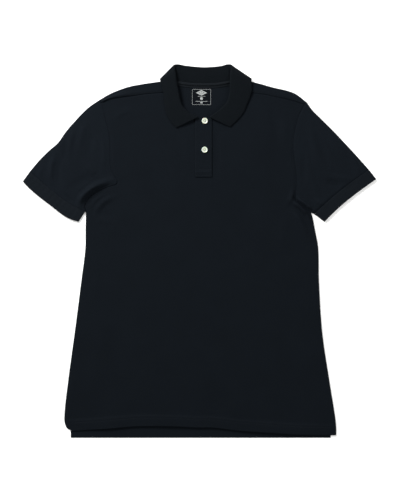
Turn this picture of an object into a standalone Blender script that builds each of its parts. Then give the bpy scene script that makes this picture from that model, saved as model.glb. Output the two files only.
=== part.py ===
"""A short-sleeved polo shirt lying flat on its back, front side up.

X runs from sleeve to sleeve, Y from the tail to the collar and Z up from the surface that the shirt lies on.
All the sizes below are in millimetres. Every cut piece is a closed wall of its own, 0.3 mm clear of the next.
"""

import math
from collections import namedtuple

import bpy
from mathutils import Vector
from mathutils.geometry import tessellate_polygon

MM = 0.001

# Cloth thicknesses
JERSEY = 1.2
PLACKET_CLOTH = 1.5
RIB = 1.6
COLLAR_KNIT = 1.8
TAPE = 0.9
PRINT = 0.5

SEAM_GAP = 0.3
CUFF_GAP = 0.4
ARMHOLE_GAP = 0.5
FOLD_RADIUS = 2.1

# Placket and buttons
PLACKET_LEFT = -9.0
PLACKET_RIGHT = 25.0
SLOT_MARGIN = 3.0
PLACKET_BOTTOM = 148.0
SLOT_BOTTOM = 152.0
NECK_FRONT = 265.6
NECK_BACK = 331.5
BUTTON_CENTRES = {"button_top": (10.6, 259.6), "button_bottom": (10.2, 202.0)}
BUTTON_HOLE_RADIUS = 0.85
BUTTON_HOLE_SPACING = 1.65
BUTTON_SIDES = 24
BUTTON_HOLE_SIDES = 8
BUTTON_REST_REACH = 24.0

# The turned profile of a button, from the edge of its back over the rim to the edge of its dish
Ring = namedtuple("Ring", "radius z")
BUTTON_PROFILE = (
    Ring(5.4, 0.0),
    Ring(5.9, 0.7),
    Ring(5.9, 1.8),
    Ring(5.2, 2.5),
    Ring(4.3, 2.5),
    Ring(3.6, 1.8),
)

# Neck print, its middle and its size
PRINT_CENTRE = (4.0, 308.0)
PRINT_SIZE = (38.0, 32.0)

# Rows across the front: where each crosses the centre, and how many steps lead from it to the next.
Row = namedtuple("Row", "mid steps")
FRONT_ROWS = (
    Row(-352, 1),
    Row(-341, 1),
    Row(-325, 2),
    Row(-256, 2),
    Row(-170, 2),
    Row(-84, 2),
    Row(-30, 1),
    Row(0, 1),
    Row(26, 2),
    Row(44, 2),
    Row(62, 2),
    Row(82, 2),
    Row(104, 2),
    Row(132, 1),
    Row(PLACKET_BOTTOM, 1),
    Row(SLOT_BOTTOM, 2),
    Row(208, 2),
    Row(242, 1),
    Row(NECK_FRONT, 0),
)

# Where those rows meet the sides: the side seam, then the underarm crease, then the armhole.
# z is the upper face.
Side = namedtuple("Side", "x y z")
FRONT_LEFT = (
    Side(-256, -359, 3.0),
    Side(-266, -352, 3.0),
    Side(-270, -333, 3.0),
    Side(-262, -257, 2.8),
    Side(-249, -161, 2.7),
    Side(-236, -60, 2.7),
    Side(-228, 5, 2.7),
    Side(-227.5, 42, 2.7),
    Side(-227, 77, 2.7),
    Side(-229, 93, 2.7),
    Side(-216, 111, 2.8),
    Side(-190, 125.5, 3.0),
    Side(-165.5, 135, 3.4),
    Side(-176, 156, 4.2),
    Side(-179, 172, 4.4),
    Side(-179.5, 180, 4.4),
    Side(-181, 230, 4.4),
    Side(-190, 270, 4.4),
    Side(-196, 296, 4.4),
)
FRONT_RIGHT = (
    Side(273, -368, 3.0),
    Side(273, -352, 3.0),
    Side(270, -325, 3.0),
    Side(259, -257, 2.8),
    Side(245, -161, 2.7),
    Side(238.5, -60, 2.7),
    Side(237, 5, 2.7),
    Side(230, 45, 2.7),
    Side(223, 76, 2.7),
    Side(215, 82.5, 2.7),
    Side(207.5, 89, 2.8),
    Side(200, 95.5, 3.0),
    Side(192.5, 102, 3.4),
    Side(194, 130, 4.2),
    Side(194, 148, 4.4),
    Side(193.5, 156, 4.4),
    Side(187.5, 215, 4.4),
    Side(197, 266, 4.4),
    Side(209, 293, 4.4),
)
CREASE_START = 8
CREASE_END = 12

# The back's own rows and side seam below the underarm; above it, the back follows the front.
BACK_ROWS = (
    Row(-373, 1),
    Row(-352, 1),
    Row(-325, 2),
    Row(-256, 2),
    Row(-170, 2),
    Row(-84, 2),
    Row(-30, 1),
    Row(0, 1),
)
BACK_LEFT = (
    Side(-257, -373, 0),
    Side(-258, -356, 0),
    Side(-263, -330, 0),
    Side(-261, -257, 0),
    Side(-248.4, -161, 0),
    Side(-235.4, -60, 0),
    Side(-227.4, 5, 0),
    Side(-226.9, 42, 0),
)
BACK_RIGHT = (
    Side(262, -373, 0),
    Side(264, -352, 0),
    Side(264, -325, 0),
    Side(258, -257, 0),
    Side(244.4, -161, 0),
    Side(237.9, -60, 0),
    Side(236.4, 5, 0),
    Side(229.4, 45, 0),
)

# Lines across the body, from the side to the centre
FRONT_HEM_LEFT = (
    (-256, -359),
    (-224, -357),
    (-178, -354),
    (-134, -350),
    (-95, -349),
    (-40, -350),
    (-9, -352),
)
FRONT_HEM_RIGHT = ((273, -368), (211, -367), (145, -363), (77, -358), (25, -352))
BACK_HEM_LEFT = ((-257, -373), (-9, -373))
BACK_HEM_RIGHT = ((262, -373), (25, -373))
SHOULDER_SEAM_LEFT = ((-196, 296), (-178, 303), (-135, 309), (-104, 313.5), (-64, 316.5))
SHOULDER_SEAM_RIGHT = ((209, 293), (178, 302), (151, 308), (123, 313.5), (90, 316.5))
NECKLINE_LEFT = ((-64, 316.5), (-62, 302), (-53, 285), (-33, 271.5), (-9, NECK_FRONT))
NECKLINE_RIGHT = ((90, 316.5), (84, 302), (72, 285), (50, 270), (25, NECK_FRONT))
SHOULDER_FOLD_LEFT = ((-200.5, 301.5), (-177, 315), (-144, 327.5), (-112, 334), (-76, 339))
SHOULDER_FOLD_RIGHT = ((213.5, 298), (188, 316), (143, 328), (124, 333.5), (102, 339))
BACK_NECK_LEFT = ((-76, 339), (-62, 337.5), (-45, 335), (-9, NECK_BACK))
BACK_NECK_RIGHT = ((102, 339), (82, 338), (59, 336), (25, NECK_BACK))
COLUMNS = (0, 0.03, 0.15, 0.30, 0.46, 0.62, 0.75, 0.88, 1)
EDGE_WIDTH = 7.5
SHOULDER_PART = (0, 0.06, 0.28, 0.52, 0.76, 1)
NECK_PART = (0, 0.34, 0.68, 1)

# The front's upper face at its hem and at its neck, and how it swells between its edges
FRONT_AT_HEM = 3.0
FRONT_AT_NECK = 4.4
HEM_RISE_PART = 1 / 6
FRONT_LOFT = 0.8
LOFT_MARGIN = 16.0
LOFT_ROWS = 3

# Turns and steps of the shoulder flaps
SHOULDER_TURNS = (30, 60, 90, 120, 150, 180)
FLAP_PARTS = (0.5, 1)
FLAP_RISE = 0.2

# Sleeves: the fold along the top, from the shoulder point to the cuff seam, and the two ends of the cuff
SLEEVE_FOLD_LEFT = (
    (-202.5, 302),
    (-224, 285),
    (-253, 255),
    (-268.5, 236.5),
    (-283, 216),
    (-298, 203),
    (-318.5, 183),
    (-339, 159),
)
SLEEVE_FOLD_RIGHT = (
    (214.5, 297),
    (225, 282),
    (239, 268),
    (271, 236),
    (303, 202),
    (322, 181),
    (338, 163),
)
CUFF_SEAM_LEFT = ((-228.5, 78.5), (-258, 94), (-287, 115.5), (-339, 159))
CUFF_SEAM_RIGHT = ((228.5, 74.5), (279.5, 119.5), (338, 163))
CUFF_HEM_LEFT = (
    (-241.5, 58.5),
    (-254, 62.5),
    (-266, 68.5),
    (-279, 77.5),
    (-296, 91),
    (-317, 107),
    (-338, 124.5),
    (-353, 139.5),
)
CUFF_HEM_RIGHT = ((249.5, 58.5), (262, 71.5), (282, 90), (300, 105), (314, 116), (353, 144))
SLEEVE_HEIGHT = 4.6
CUFF_HEIGHT = 5.0
SHOULDER_POINT_PART = 0.9
SLEEVE_LOFT = 0.7
SLEEVE_LOFT_LEAST = 0.25
SLEEVE_LOFT_RISE = 3
SLEEVE_EDGE_COLUMNS = 1.5
FOLD_TURNS = (45, 90, 135)
CUFF_PARTS = (0, 0.5, 1)

# Largest folds of the upper side: a soft ridge, or a trough where the height is negative
Fold = namedtuple("Fold", "x0 y0 x1 y1 width height")
BODY_FOLDS = (
    Fold(-172, 284, -92, 300, 14, -0.9),
    Fold(-174, 262, -128, 286, 11, 1.1),
    Fold(141, 306, 160, 222, 15, -1.0),
    Fold(178, 276, 172, 210, 12, 0.8),
    Fold(-196, 112, -150, 150, 15, 1.5),
    Fold(-213, 92, -180, 78, 14, 1.3),
    Fold(178, 118, 168, 60, 16, 1.2),
    Fold(214, 66, 196, 20, 14, 1.0),
    Fold(-120, 40, -70, -120, 45, 0.8),
    Fold(110, 20, 150, -150, 42, 0.9),
    Fold(-190, -150, -215, -300, 30, 0.9),
    Fold(200, -190, 222, -310, 28, 0.8),
    Fold(-30, -150, 20, -300, 40, 0.7),
)
SLEEVE_FOLDS = (
    Fold(-289, 192, -297, 138, 14, 1.4),
    Fold(-262, 98, -219, 133, 12, 1.5),
    Fold(-235, 250, -262, 190, 18, 0.9),
    Fold(258, 138, 290, 118, 13, 1.3),
    Fold(236, 108, 214, 150, 15, 1.1),
    Fold(250, 240, 292, 178, 18, 0.9),
)

# One row to a section of the collar, from one front end round the back neck to the other.
# The seam joins the neck, the roll is where it turns over, the edge is free. The roll's z is the middle
# of its turn; lean is the side on which the leaf lies: 90 above the stand, 0 outside it, -90 beneath it.
Section = namedtuple("Section", "seam_x seam_y seam_z roll_x roll_y roll_z edge_x edge_y edge_z round lean")
COLLAR = (
    Section(-5, 265, 7.5, -3, 267.8, 9.2, -47, 246, 6.4, 1.4, 90),
    Section(-31, 269.5, 5.8, -22, 276.5, 8.6, -59, 260, 6.5, 1.5, 90),
    Section(-53, 289, 5.8, -36, 292, 8.8, -67, 277, 6.7, 1.7, 90),
    Section(-60, 306, 5.8, -41, 312, 9.6, -70.5, 299, 7.2, 1.9, 90),
    Section(-60, 322, 6.4, -45.5, 334, 11.0, -72.5, 321, 8.0, 2.1, 88),
    Section(-57, 343, 7.4, -48, 354, 12.0, -77.5, 337.5, 8.0, 2.1, 75),
    Section(-53, 353, 4.4, -50, 367.5, 9.8, -77.5, 343.5, 4.4, 2.1, 15),
    Section(-47, 338, 3.4, -43, 372, 4.8, -58, 345, 2.0, 2.0, -60),
    Section(-28, 333.5, 2.6, -27, 369.5, 2.7, -30, 341.5, 1.1, 1.7, -90),
    Section(7, 331.5, 2.5, 7, 366.5, 2.6, 7, 340, 1.0, 1.6, -90),
    Section(42, 333.5, 2.6, 40, 368.5, 2.7, 42, 341.5, 1.1, 1.7, -90),
    Section(61, 338, 3.4, 56, 372, 4.8, 76, 346, 2.0, 2.0, -60),
    Section(66.5, 353, 4.4, 63, 367.5, 9.8, 102, 344.5, 4.4, 2.1, 15),
    Section(72, 343, 7.4, 62, 354, 12.0, 103.5, 337.5, 8.0, 2.1, 75),
    Section(77, 322, 6.4, 61, 334, 11.0, 104, 319, 8.0, 2.1, 88),
    Section(86, 306, 5.8, 60.5, 315, 9.6, 97, 299, 7.2, 1.9, 90),
    Section(74, 289, 5.8, 55, 297, 8.8, 88, 277, 6.7, 1.7, 90),
    Section(49, 272.5, 5.8, 40, 281, 8.6, 75, 261, 6.5, 1.5, 90),
    Section(22.6, 264.8, 7.5, 20.5, 267.3, 9.2, 61, 247.5, 6.4, 1.4, 90),
)
NECK_MIDDLE = (7, 312)
COLLAR_STEPS = 2
STAND_STEPS = 3
ROLL_STEPS = 4
LEAF_STEPS = 3
STAND_BULGE = 0.9
LEAF_BULGE = 0.7

# Neck tape over the back neck seam: distance from the seam towards the collar, height of its upper face
Across = namedtuple("Across", "out z")
TAPE_PROFILE = (Across(-5.5, 2.4), Across(-2.2, 2.7), Across(-0.7, 5.1), Across(3.4, 5.6))
TAPE_LINE = ((-44, 335.4), (-19, 332.2), (7, 331.5), (33, 332.2), (58, 336))
TAPE_STEPS = 4

LINE_STEPS = 16
SHARP_EDGE = 40
HAIR = 0.01


def smooth(points, steps):
    """Points on a smooth line through the given ones, with a set number of steps to each span."""
    pts = [Vector(p) for p in points]
    out = [pts[0].copy()]
    last = len(pts) - 1
    for i, count in enumerate(steps[:last]):
        b, c = pts[i], pts[i + 1]
        a, d = pts[max(i - 1, 0)], pts[min(i + 2, last)]
        span = (c - b).length
        leave = (c - a) * (span / max((b - a).length + span, 1e-9))
        arrive = (d - b) * (span / max((d - c).length + span, 1e-9))
        for k in range(1, count + 1):
            t = k / count
            h1 = 2 * t**3 - 3 * t**2 + 1
            h2 = t**3 - 2 * t**2 + t
            h3 = -2 * t**3 + 3 * t**2
            h4 = t**3 - t**2
            out.append(b * h1 + leave * h2 + c * h3 + arrive * h4)
    return out


def along(points, parts):
    """Points at the given parts of the length of a smooth line through the given ones."""
    line = smooth(points, [LINE_STEPS] * (len(points) - 1))
    runs = [0.0]
    for p, q in zip(line, line[1:]):
        runs.append(runs[-1] + (q - p).length)
    out = []
    k = 0
    for part in parts:
        want = part * runs[-1]
        while k < len(runs) - 2 and runs[k + 1] < want:
            k += 1
        span = max(runs[k + 1] - runs[k], 1e-9)
        out.append(line[k].lerp(line[k + 1], (want - runs[k]) / span))
    return out


def shifted(line, distance):
    """A line moved sideways in plan, to its left when the distance is positive."""
    out = []
    last = len(line) - 1
    for i, p in enumerate(line):
        t = line[min(i + 1, last)] - line[max(i - 1, 0)]
        side = Vector((-t.y, t.x)).normalized() * distance
        out.append(p + (side if len(p) == 2 else side.to_3d()))
    return out


def lifted(line, z):
    """A plan line at one height."""
    return [Vector((p[0], p[1], z)) for p in line]


def coons(bottom, top, left, right, us, vs):
    """A sheet of rows of points spanned between four edges that meet at their ends."""
    rows = []
    for j, v in enumerate(vs):
        row = []
        for i, u in enumerate(us):
            ends = left[j] * (1 - u) + right[j] * u
            sides = bottom[i] * (1 - v) + top[i] * v
            low = bottom[0] * (1 - u) + bottom[-1] * u
            high = top[0] * (1 - u) + top[-1] * u
            row.append(ends + sides - low * (1 - v) - high * v)
        rows.append(row)
    return rows


def fade(t):
    """Runs smoothly from 0 to 1 and stays there."""
    t = min(max(t, 0.0), 1.0)
    return t * t * (3 - 2 * t)


def relief(folds, x, y):
    """Height that the folds add at a point."""
    total = 0.0
    for f in folds:
        dx, dy = f.x1 - f.x0, f.y1 - f.y0
        t = min(max(((x - f.x0) * dx + (y - f.y0) * dy) / (dx * dx + dy * dy), 0.0), 1.0)
        away = math.hypot(x - f.x0 - t * dx, y - f.y0 - t * dy)
        total += f.height * (1 - fade(away / f.width))
    return total


def side_line(stations, rows, z=None):
    """The edge of a body panel, station by station."""
    points = [(s.x, s.y, s.z if z is None else z) for s in stations]
    return smooth(points, [r.steps for r in rows])


def row_middles(rows):
    """Where each row of a body panel crosses the centre."""
    out = [rows[0].mid]
    for r, s in zip(rows, rows[1:]):
        for k in range(1, r.steps + 1):
            out.append(r.mid + (s.mid - r.mid) * k / r.steps)
    return out


def step_of(rows, station):
    """Index of a station among the sampled rows."""
    return sum(r.steps for r in rows[:station])


def edge_columns(rows, left, right):
    """Sets the outermost columns but one a fixed way in from the edges, for a clean armhole corner."""
    for j in range(1, len(rows) - 1):
        for side, inner, way in ((left, 1, -1), (right, -2, 1)):
            around = [p.to_2d() for p in side[j - 1 : j + 2]]
            moved = shifted(around, way * EDGE_WIDTH)[1]
            rows[j][inner].x, rows[j][inner].y = moved


def panel_band(side, hem, shoulder, neck, x, mids, heights):
    """The points of a body panel from one side to the placket; heights are its rows' own at the centre."""
    vs = [(m - mids[0]) / (mids[-1] - mids[0]) for m in mids]
    bottom = lifted(along(hem, COLUMNS), heights[0])
    top = lifted(shoulder + along(neck, NECK_PART)[1:], heights[-1])
    centre = [Vector((x, m, z)) for m, z in zip(mids, heights)]
    bottom[0], bottom[-1] = side[0], centre[0]
    top[0], top[-1] = side[-1], centre[-1]
    return coons(bottom, top, side, centre, COLUMNS, vs)


def panel_rows(bands, middle):
    """Both bands of a body panel and the columns between them, which stand at the given x."""
    rows = []
    for a, b in zip(*bands):
        between = [a[-1].lerp(b[-1], (x - PLACKET_LEFT) / (PLACKET_RIGHT - PLACKET_LEFT)) for x in middle]
        rows.append(a + between + b[::-1])
    return rows


def quads(rows, wanted=None, start=0):
    """Faces over rows of points; wanted says which are kept."""
    wide = len(rows[0])
    faces = []
    for j in range(len(rows) - 1):
        for i in range(wide - 1):
            if wanted is None or wanted(i, j):
                a = start + j * wide + i
                faces.append((a, a + 1, a + wide + 1, a + wide))
    return faces


def tube_quads(rows):
    """Faces over rows of points that close on themselves."""
    wide = len(rows[0])
    faces = []
    for j in range(len(rows) - 1):
        for i in range(wide):
            k = (i + 1) % wide
            faces.append((j * wide + i, j * wide + k, (j + 1) * wide + k, (j + 1) * wide + i))
    return faces


def material(name, colour, roughness):
    """A plain surface of one colour."""
    made = bpy.data.materials.new(name)
    made.use_nodes = True
    surface = made.node_tree.nodes["Principled BSDF"]
    surface.inputs["Base Color"].default_value = (*colour, 1)
    surface.inputs["Roughness"].default_value = roughness
    return made


def solid(name, points, faces, surface, rounded=True):
    """One named object from points in millimetres."""
    mesh = bpy.data.meshes.new(name)
    mesh.from_pydata([Vector(p) * MM for p in points], [], faces)
    mesh.materials.append(surface)
    if rounded:
        mesh.shade_smooth()
        mesh.set_sharp_from_angle(angle=math.radians(SHARP_EDGE))
    mesh.update()
    made = bpy.data.objects.new(name, mesh)
    bpy.context.scene.collection.objects.link(made)
    return made


def close(name, outer, inner, faces, surface):
    """Joins two like sheets at their rims into one closed solid. The faces belong to the outer sheet."""
    count = len(outer)
    ways = {(a, b) for f in faces for a, b in zip(f, f[1:] + f[:1])}
    rims = [(b, a, a + count, b + count) for a, b in sorted(ways) if (b, a) not in ways]
    backs = [tuple(i + count for i in reversed(f)) for f in faces]
    return solid(name, outer + inner, faces + backs + rims, surface)


def wall(name, points, faces, thickness, surface, centred=False):
    """Closes a sheet into a solid. Its faces look outwards; the other side lies one thickness behind them."""
    used = sorted({i for f in faces for i in f})
    renumber = {old: new for new, old in enumerate(used)}
    points = [Vector(points[i]) for i in used]
    faces = [tuple(renumber[i] for i in f) for f in faces]
    normals = [Vector((0, 0, 0)) for _ in points]
    for f in faces:
        a, b, c, d = (points[i] for i in f)
        n = (c - a).cross(d - b)
        for i in f:
            normals[i] += n
    ahead = thickness / 2 if centred else 0
    outer = [p + n.normalized() * ahead for p, n in zip(points, normals)]
    inner = [p + n.normalized() * (ahead - thickness) for p, n in zip(points, normals)]
    return close(name, outer, inner, faces, surface)


def flat(rows):
    """Rows of points as one list."""
    return [p for row in rows for p in row]


def front_points():
    """The upper face of the front, row by row from hem to neck."""
    left, right = side_line(FRONT_LEFT, FRONT_ROWS), side_line(FRONT_RIGHT, FRONT_ROWS)
    mids = row_middles(FRONT_ROWS)
    rise_end = mids[0] + (mids[-1] - mids[0]) * HEM_RISE_PART
    heights = []
    for m in mids:
        risen = fade((m - mids[0]) / (rise_end - mids[0]))
        heights.append(FRONT_AT_HEM + (FRONT_AT_NECK - FRONT_AT_HEM) * risen)
    shoulder_left = along(SHOULDER_SEAM_LEFT, SHOULDER_PART)
    shoulder_right = along(SHOULDER_SEAM_RIGHT, SHOULDER_PART)
    bands = (
        panel_band(left, FRONT_HEM_LEFT, shoulder_left, NECKLINE_LEFT, PLACKET_LEFT, mids, heights),
        panel_band(right, FRONT_HEM_RIGHT, shoulder_right, NECKLINE_RIGHT, PLACKET_RIGHT, mids, heights),
    )
    middle = (PLACKET_LEFT + PLACKET_RIGHT) / 2
    rows = panel_rows(bands, (PLACKET_LEFT + SLOT_MARGIN, middle, PLACKET_RIGHT - SLOT_MARGIN))
    edge_columns(rows, left, right)
    last = len(rows) - 1
    for j, row in enumerate(rows):
        from_ends = fade(j / LOFT_ROWS) * fade((last - j) / LOFT_ROWS)
        for p in row:
            inside = min(p.x - row[0].x, row[-1].x - p.x)
            hold = fade(inside / LOFT_MARGIN) * from_ends
            p.z += hold * (FRONT_LOFT + relief(BODY_FOLDS, p.x, p.y))
    return rows


def back_points():
    """The underside of the back, flat on the surface, ending at the shoulder folds and the neck seam."""
    stations = BACK_ROWS + FRONT_ROWS[CREASE_START:]
    left = side_line(BACK_LEFT + FRONT_LEFT[CREASE_START:], stations, 0)
    right = side_line(BACK_RIGHT + FRONT_RIGHT[CREASE_START:], stations, 0)
    mids = []
    for m in row_middles(stations):
        mids.append(m + (NECK_BACK - NECK_FRONT) * fade((m - SLOT_BOTTOM) / (NECK_FRONT - SLOT_BOTTOM)))
    folds = []
    for fold, seam in zip(
        (SHOULDER_FOLD_LEFT, SHOULDER_FOLD_RIGHT),
        (SHOULDER_SEAM_LEFT, SHOULDER_SEAM_RIGHT),
    ):
        outline, sewn = along(fold, SHOULDER_PART), along(seam, SHOULDER_PART)
        folds.append([(p, (q - p).normalized(), q) for p, q in zip(outline, sewn)])
    inner_left, inner_right = ([p + n * FOLD_RADIUS for p, n, q in fold] for fold in folds)
    left[-1] = inner_left[0].to_3d()
    right[-1] = inner_right[0].to_3d()
    heights = [0] * len(mids)
    bands = (
        panel_band(left, BACK_HEM_LEFT, inner_left, BACK_NECK_LEFT, PLACKET_LEFT, mids, heights),
        panel_band(right, BACK_HEM_RIGHT, inner_right, BACK_NECK_RIGHT, PLACKET_RIGHT, mids, heights),
    )
    rows = panel_rows(bands, ((PLACKET_LEFT + PLACKET_RIGHT) / 2,))
    edge_columns(rows, left, right)
    return rows, folds


def shoulder_flap(fold):
    """Rows of points that carry the back over the shoulder fold and down to the shoulder seam."""
    rows = []
    for turn in SHOULDER_TURNS:
        a = math.radians(turn)
        row = []
        for p, n, _ in fold:
            plan = p + n * FOLD_RADIUS * (1 - math.sin(a))
            row.append(Vector((plan.x, plan.y, FOLD_RADIUS * (1 - math.cos(a)))))
        rows.append(row)
    for part in FLAP_PARTS:
        row = []
        for p, n, q in fold:
            start = p + n * FOLD_RADIUS
            plan = start.lerp(q - n * SEAM_GAP, part)
            row.append(Vector((plan.x, plan.y, 2 * FOLD_RADIUS + FLAP_RISE * part)))
        rows.append(row)
    return rows


def build_back(surface):
    """The back panel with its two shoulder flaps."""
    rows, folds = back_points()
    points = flat(rows)
    wide = len(rows[0])
    faces = [f[::-1] for f in quads(rows)]
    top = (len(rows) - 1) * wide
    count = len(SHOULDER_PART)
    for side, fold in zip((0, 1), folds):
        base = [top + i for i in range(count)] if side == 0 else [top + wide - 1 - i for i in range(count)]
        previous = base
        for row in shoulder_flap(fold):
            start = len(points)
            points.extend(row)
            current = list(range(start, start + count))
            for i in range(count - 1):
                f = (previous[i], previous[i + 1], current[i + 1], current[i])
                faces.append(f[::-1] if side == 0 else f)
            previous = current
    return wall("back_panel", points, faces, JERSEY, surface)


def build_front(rows, surface):
    """The front panel, open under the placket."""
    mids = row_middles(FRONT_ROWS)
    first = len(COLUMNS)

    def kept(i, j):
        return not (first <= i < first + 2 and mids[j] >= SLOT_BOTTOM - HAIR)

    return wall("front_panel", flat(rows), quads(rows, kept), JERSEY, surface)


def build_placket(rows, surface):
    """The outer placket on the front and the under placket in its opening."""
    mids = row_middles(FRONT_ROWS)
    first = len(COLUMNS) - 1
    outer, under = [], []
    for row, m in zip(rows, mids):
        if m >= PLACKET_BOTTOM - HAIR:
            outer.append([p + Vector((0, 0, SEAM_GAP + PLACKET_CLOTH)) for p in row[first : first + 5]])
        if m >= SLOT_BOTTOM - HAIR:
            under.append([p.copy() for p in row[first + 1 : first + 4]])
            under[-1][0].x += SEAM_GAP
            under[-1][-1].x -= SEAM_GAP
    wall("placket_outer", flat(outer), quads(outer), PLACKET_CLOTH, surface)
    for p in under[0]:
        p.y += SEAM_GAP
    wall("placket_under", flat(under), quads(under), JERSEY, surface)
    return outer


def flattened_tube(plan, height, thickness, us):
    """Loops round a tube pressed flat, outside and inside: each line of the plan runs from fold to fold."""
    outsides, insides = [], []
    for line, u in zip(plan, us):
        last = len(line) - 1
        low = (line[1] - line[0]).normalized()
        high = (line[last] - line[last - 1]).normalized()
        radius = height / 2
        level = [line[0] + low * radius] + line[1:last] + [line[last] - high * radius]
        up = Vector((0, 0, thickness))
        outside = [Vector((p.x, p.y, 0)) for p in level]
        inside = [p + up for p in outside]
        for turn in FOLD_TURNS:
            for loop, r in ((outside, radius), (inside, radius - thickness)):
                loop.append(fold_point(level[-1], high, radius, r, turn))
        for k, p in enumerate(reversed(level)):
            edge = fade(min(k, last - k) / SLEEVE_EDGE_COLUMNS)
            held = min(1, SLEEVE_LOFT_LEAST + SLEEVE_LOFT_RISE * u)
            lift = edge * held * (SLEEVE_LOFT + relief(SLEEVE_FOLDS, p.x, p.y))
            top = Vector((p.x, p.y, height + lift))
            outside.append(top)
            inside.append(top - up)
        for turn in reversed(FOLD_TURNS):
            for loop, r in ((outside, radius), (inside, radius - thickness)):
                loop.append(fold_point(level[0], -low, radius, r, turn))
        outsides.append(outside)
        insides.append(inside)
    return outsides, insides


def fold_point(level, out, radius, r, turn):
    """A point on the round of a fold, turned up from its lowest line."""
    a = math.radians(turn)
    plan = level + out * r * math.sin(a)
    return Vector((plan.x, plan.y, radius - r * math.cos(a)))


def tube(name, plan, height, thickness, us, outward, surface):
    """A flattened tube of cloth, open at both ends."""
    outsides, insides = flattened_tube(plan, height, thickness, us)
    faces = tube_quads(outsides)
    if outward > 0:
        faces = [f[::-1] for f in faces]
    close(name, flat(outsides), flat(insides), faces, surface)


def build_sleeve(side, stations, fold, cuff_seam, cuff_hem, outward, sleeve_surface, cuff_surface):
    """A sleeve from the armhole to the cuff seam, and the rib cuff beyond it."""
    edge = [p.to_2d() for p in side_line(stations, FRONT_ROWS, 0)]
    start, end = step_of(FRONT_ROWS, CREASE_START), step_of(FRONT_ROWS, CREASE_END)
    clear = shifted(edge, outward * ARMHOLE_GAP)
    crease = clear[start : end + 1][::-1]
    armhole = clear[end:]
    long_steps = len(crease) - 1
    round_steps = len(armhole) - 1
    us = [k / long_steps for k in range(long_steps + 1)]
    ts = [k / round_steps for k in range(round_steps + 1)]
    upper = along(fold, us)
    cuff_line = along(cuff_seam, ts)
    upper[0] = armhole[-1].lerp(upper[0], SHOULDER_POINT_PART)
    upper[-1] = cuff_line[-1]
    crease[-1] = cuff_line[0]
    armhole[-1] = upper[0]
    plan = coons(armhole, cuff_line, crease, upper, ts, us)
    tube("sleeve_" + side, plan, SLEEVE_HEIGHT, JERSEY, us, outward, sleeve_surface)

    hem = along(cuff_hem, ts)
    inward = [(a - b).normalized() * CUFF_GAP for a, b in zip(cuff_line, hem)]
    seam = [a - n for a, n in zip(cuff_line, inward)]
    plan = [[a.lerp(b, part) for a, b in zip(seam, hem)] for part in CUFF_PARTS]
    tube("cuff_" + side, plan, CUFF_HEIGHT, RIB, [1] * len(CUFF_PARTS), outward, cuff_surface)


def collar_section(row, roll_way):
    """Points across the collar: up the stand, round the roll and down the leaf."""
    seam = Vector((row.seam_x, row.seam_y, row.seam_z))
    roll = Vector((row.roll_x, row.roll_y, row.roll_z))
    edge = Vector((row.edge_x, row.edge_y, row.edge_z))
    out = Vector((row.roll_x - NECK_MIDDLE[0], row.roll_y - NECK_MIDDLE[1], 0)).normalized()
    lean = math.radians(row.lean)
    leaf_side = out * math.cos(lean) + Vector((0, 0, math.sin(lean)))
    leaf_side = (leaf_side - roll_way * roll_way.dot(leaf_side)).normalized()
    rise = roll_way.cross(leaf_side)
    leaf_bulge = LEAF_BULGE * (1 + math.sin(lean)) / 2
    stand_bulge = STAND_BULGE * (1 - math.sin(lean)) / 2
    centre = roll - rise * row.round
    foot, shoulder = centre - leaf_side * row.round, centre + leaf_side * row.round
    points = []
    for k in range(STAND_STEPS):
        t = k / STAND_STEPS
        points.append(seam.lerp(foot, t) - leaf_side * stand_bulge * math.sin(math.pi * t))
    for k in range(ROLL_STEPS + 1):
        a = math.pi * k / ROLL_STEPS
        points.append(centre - leaf_side * row.round * math.cos(a) + rise * row.round * math.sin(a))
    for k in range(1, LEAF_STEPS + 1):
        t = k / LEAF_STEPS
        points.append(shoulder.lerp(edge, t) + leaf_side * leaf_bulge * math.sin(math.pi * t))
    return points


def build_collar(surface):
    """The collar, one knitted piece with its stand and leaf."""
    sections = [Section(*s) for s in smooth(COLLAR, [COLLAR_STEPS] * (len(COLLAR) - 1))]
    rolls = [Vector((s.roll_x, s.roll_y, s.roll_z)) for s in sections]
    last = len(rolls) - 1
    rows = []
    for k, section in enumerate(sections):
        way = (rolls[min(k + 1, last)] - rolls[max(k - 1, 0)]).normalized()
        rows.append(collar_section(section, way))
    wall("collar", flat(rows), quads(rows), COLLAR_KNIT, surface, centred=True)


def build_tape(surface):
    """The tape that covers the back neck seam."""
    line = smooth(TAPE_LINE, [TAPE_STEPS] * (len(TAPE_LINE) - 1))
    rows = []
    for p in TAPE_PROFILE:
        rows.append(lifted(shifted(line, p.out), p.z))
    wall("neck_tape", flat(rows), quads(rows), TAPE, surface)


def build_print(surface):
    """The printed neck mark, a thin square film on the inside of the back."""
    z = JERSEY + SEAM_GAP + PRINT
    (x, y), (wide, high) = PRINT_CENTRE, PRINT_SIZE
    rows = []
    for v in (-0.5, 0.5):
        rows.append([Vector((x + u * wide, y + v * high, z)) for u in (-0.5, 0.5)])
    wall("neck_print", flat(rows), quads(rows), PRINT, surface)


def ring(radius, z, centre, count):
    """A level circle of points."""
    step = 2 * math.pi / count
    return [
        Vector((centre[0] + radius * math.cos(step * k), centre[1] + radius * math.sin(step * k), z))
        for k in range(count)
    ]


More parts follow.
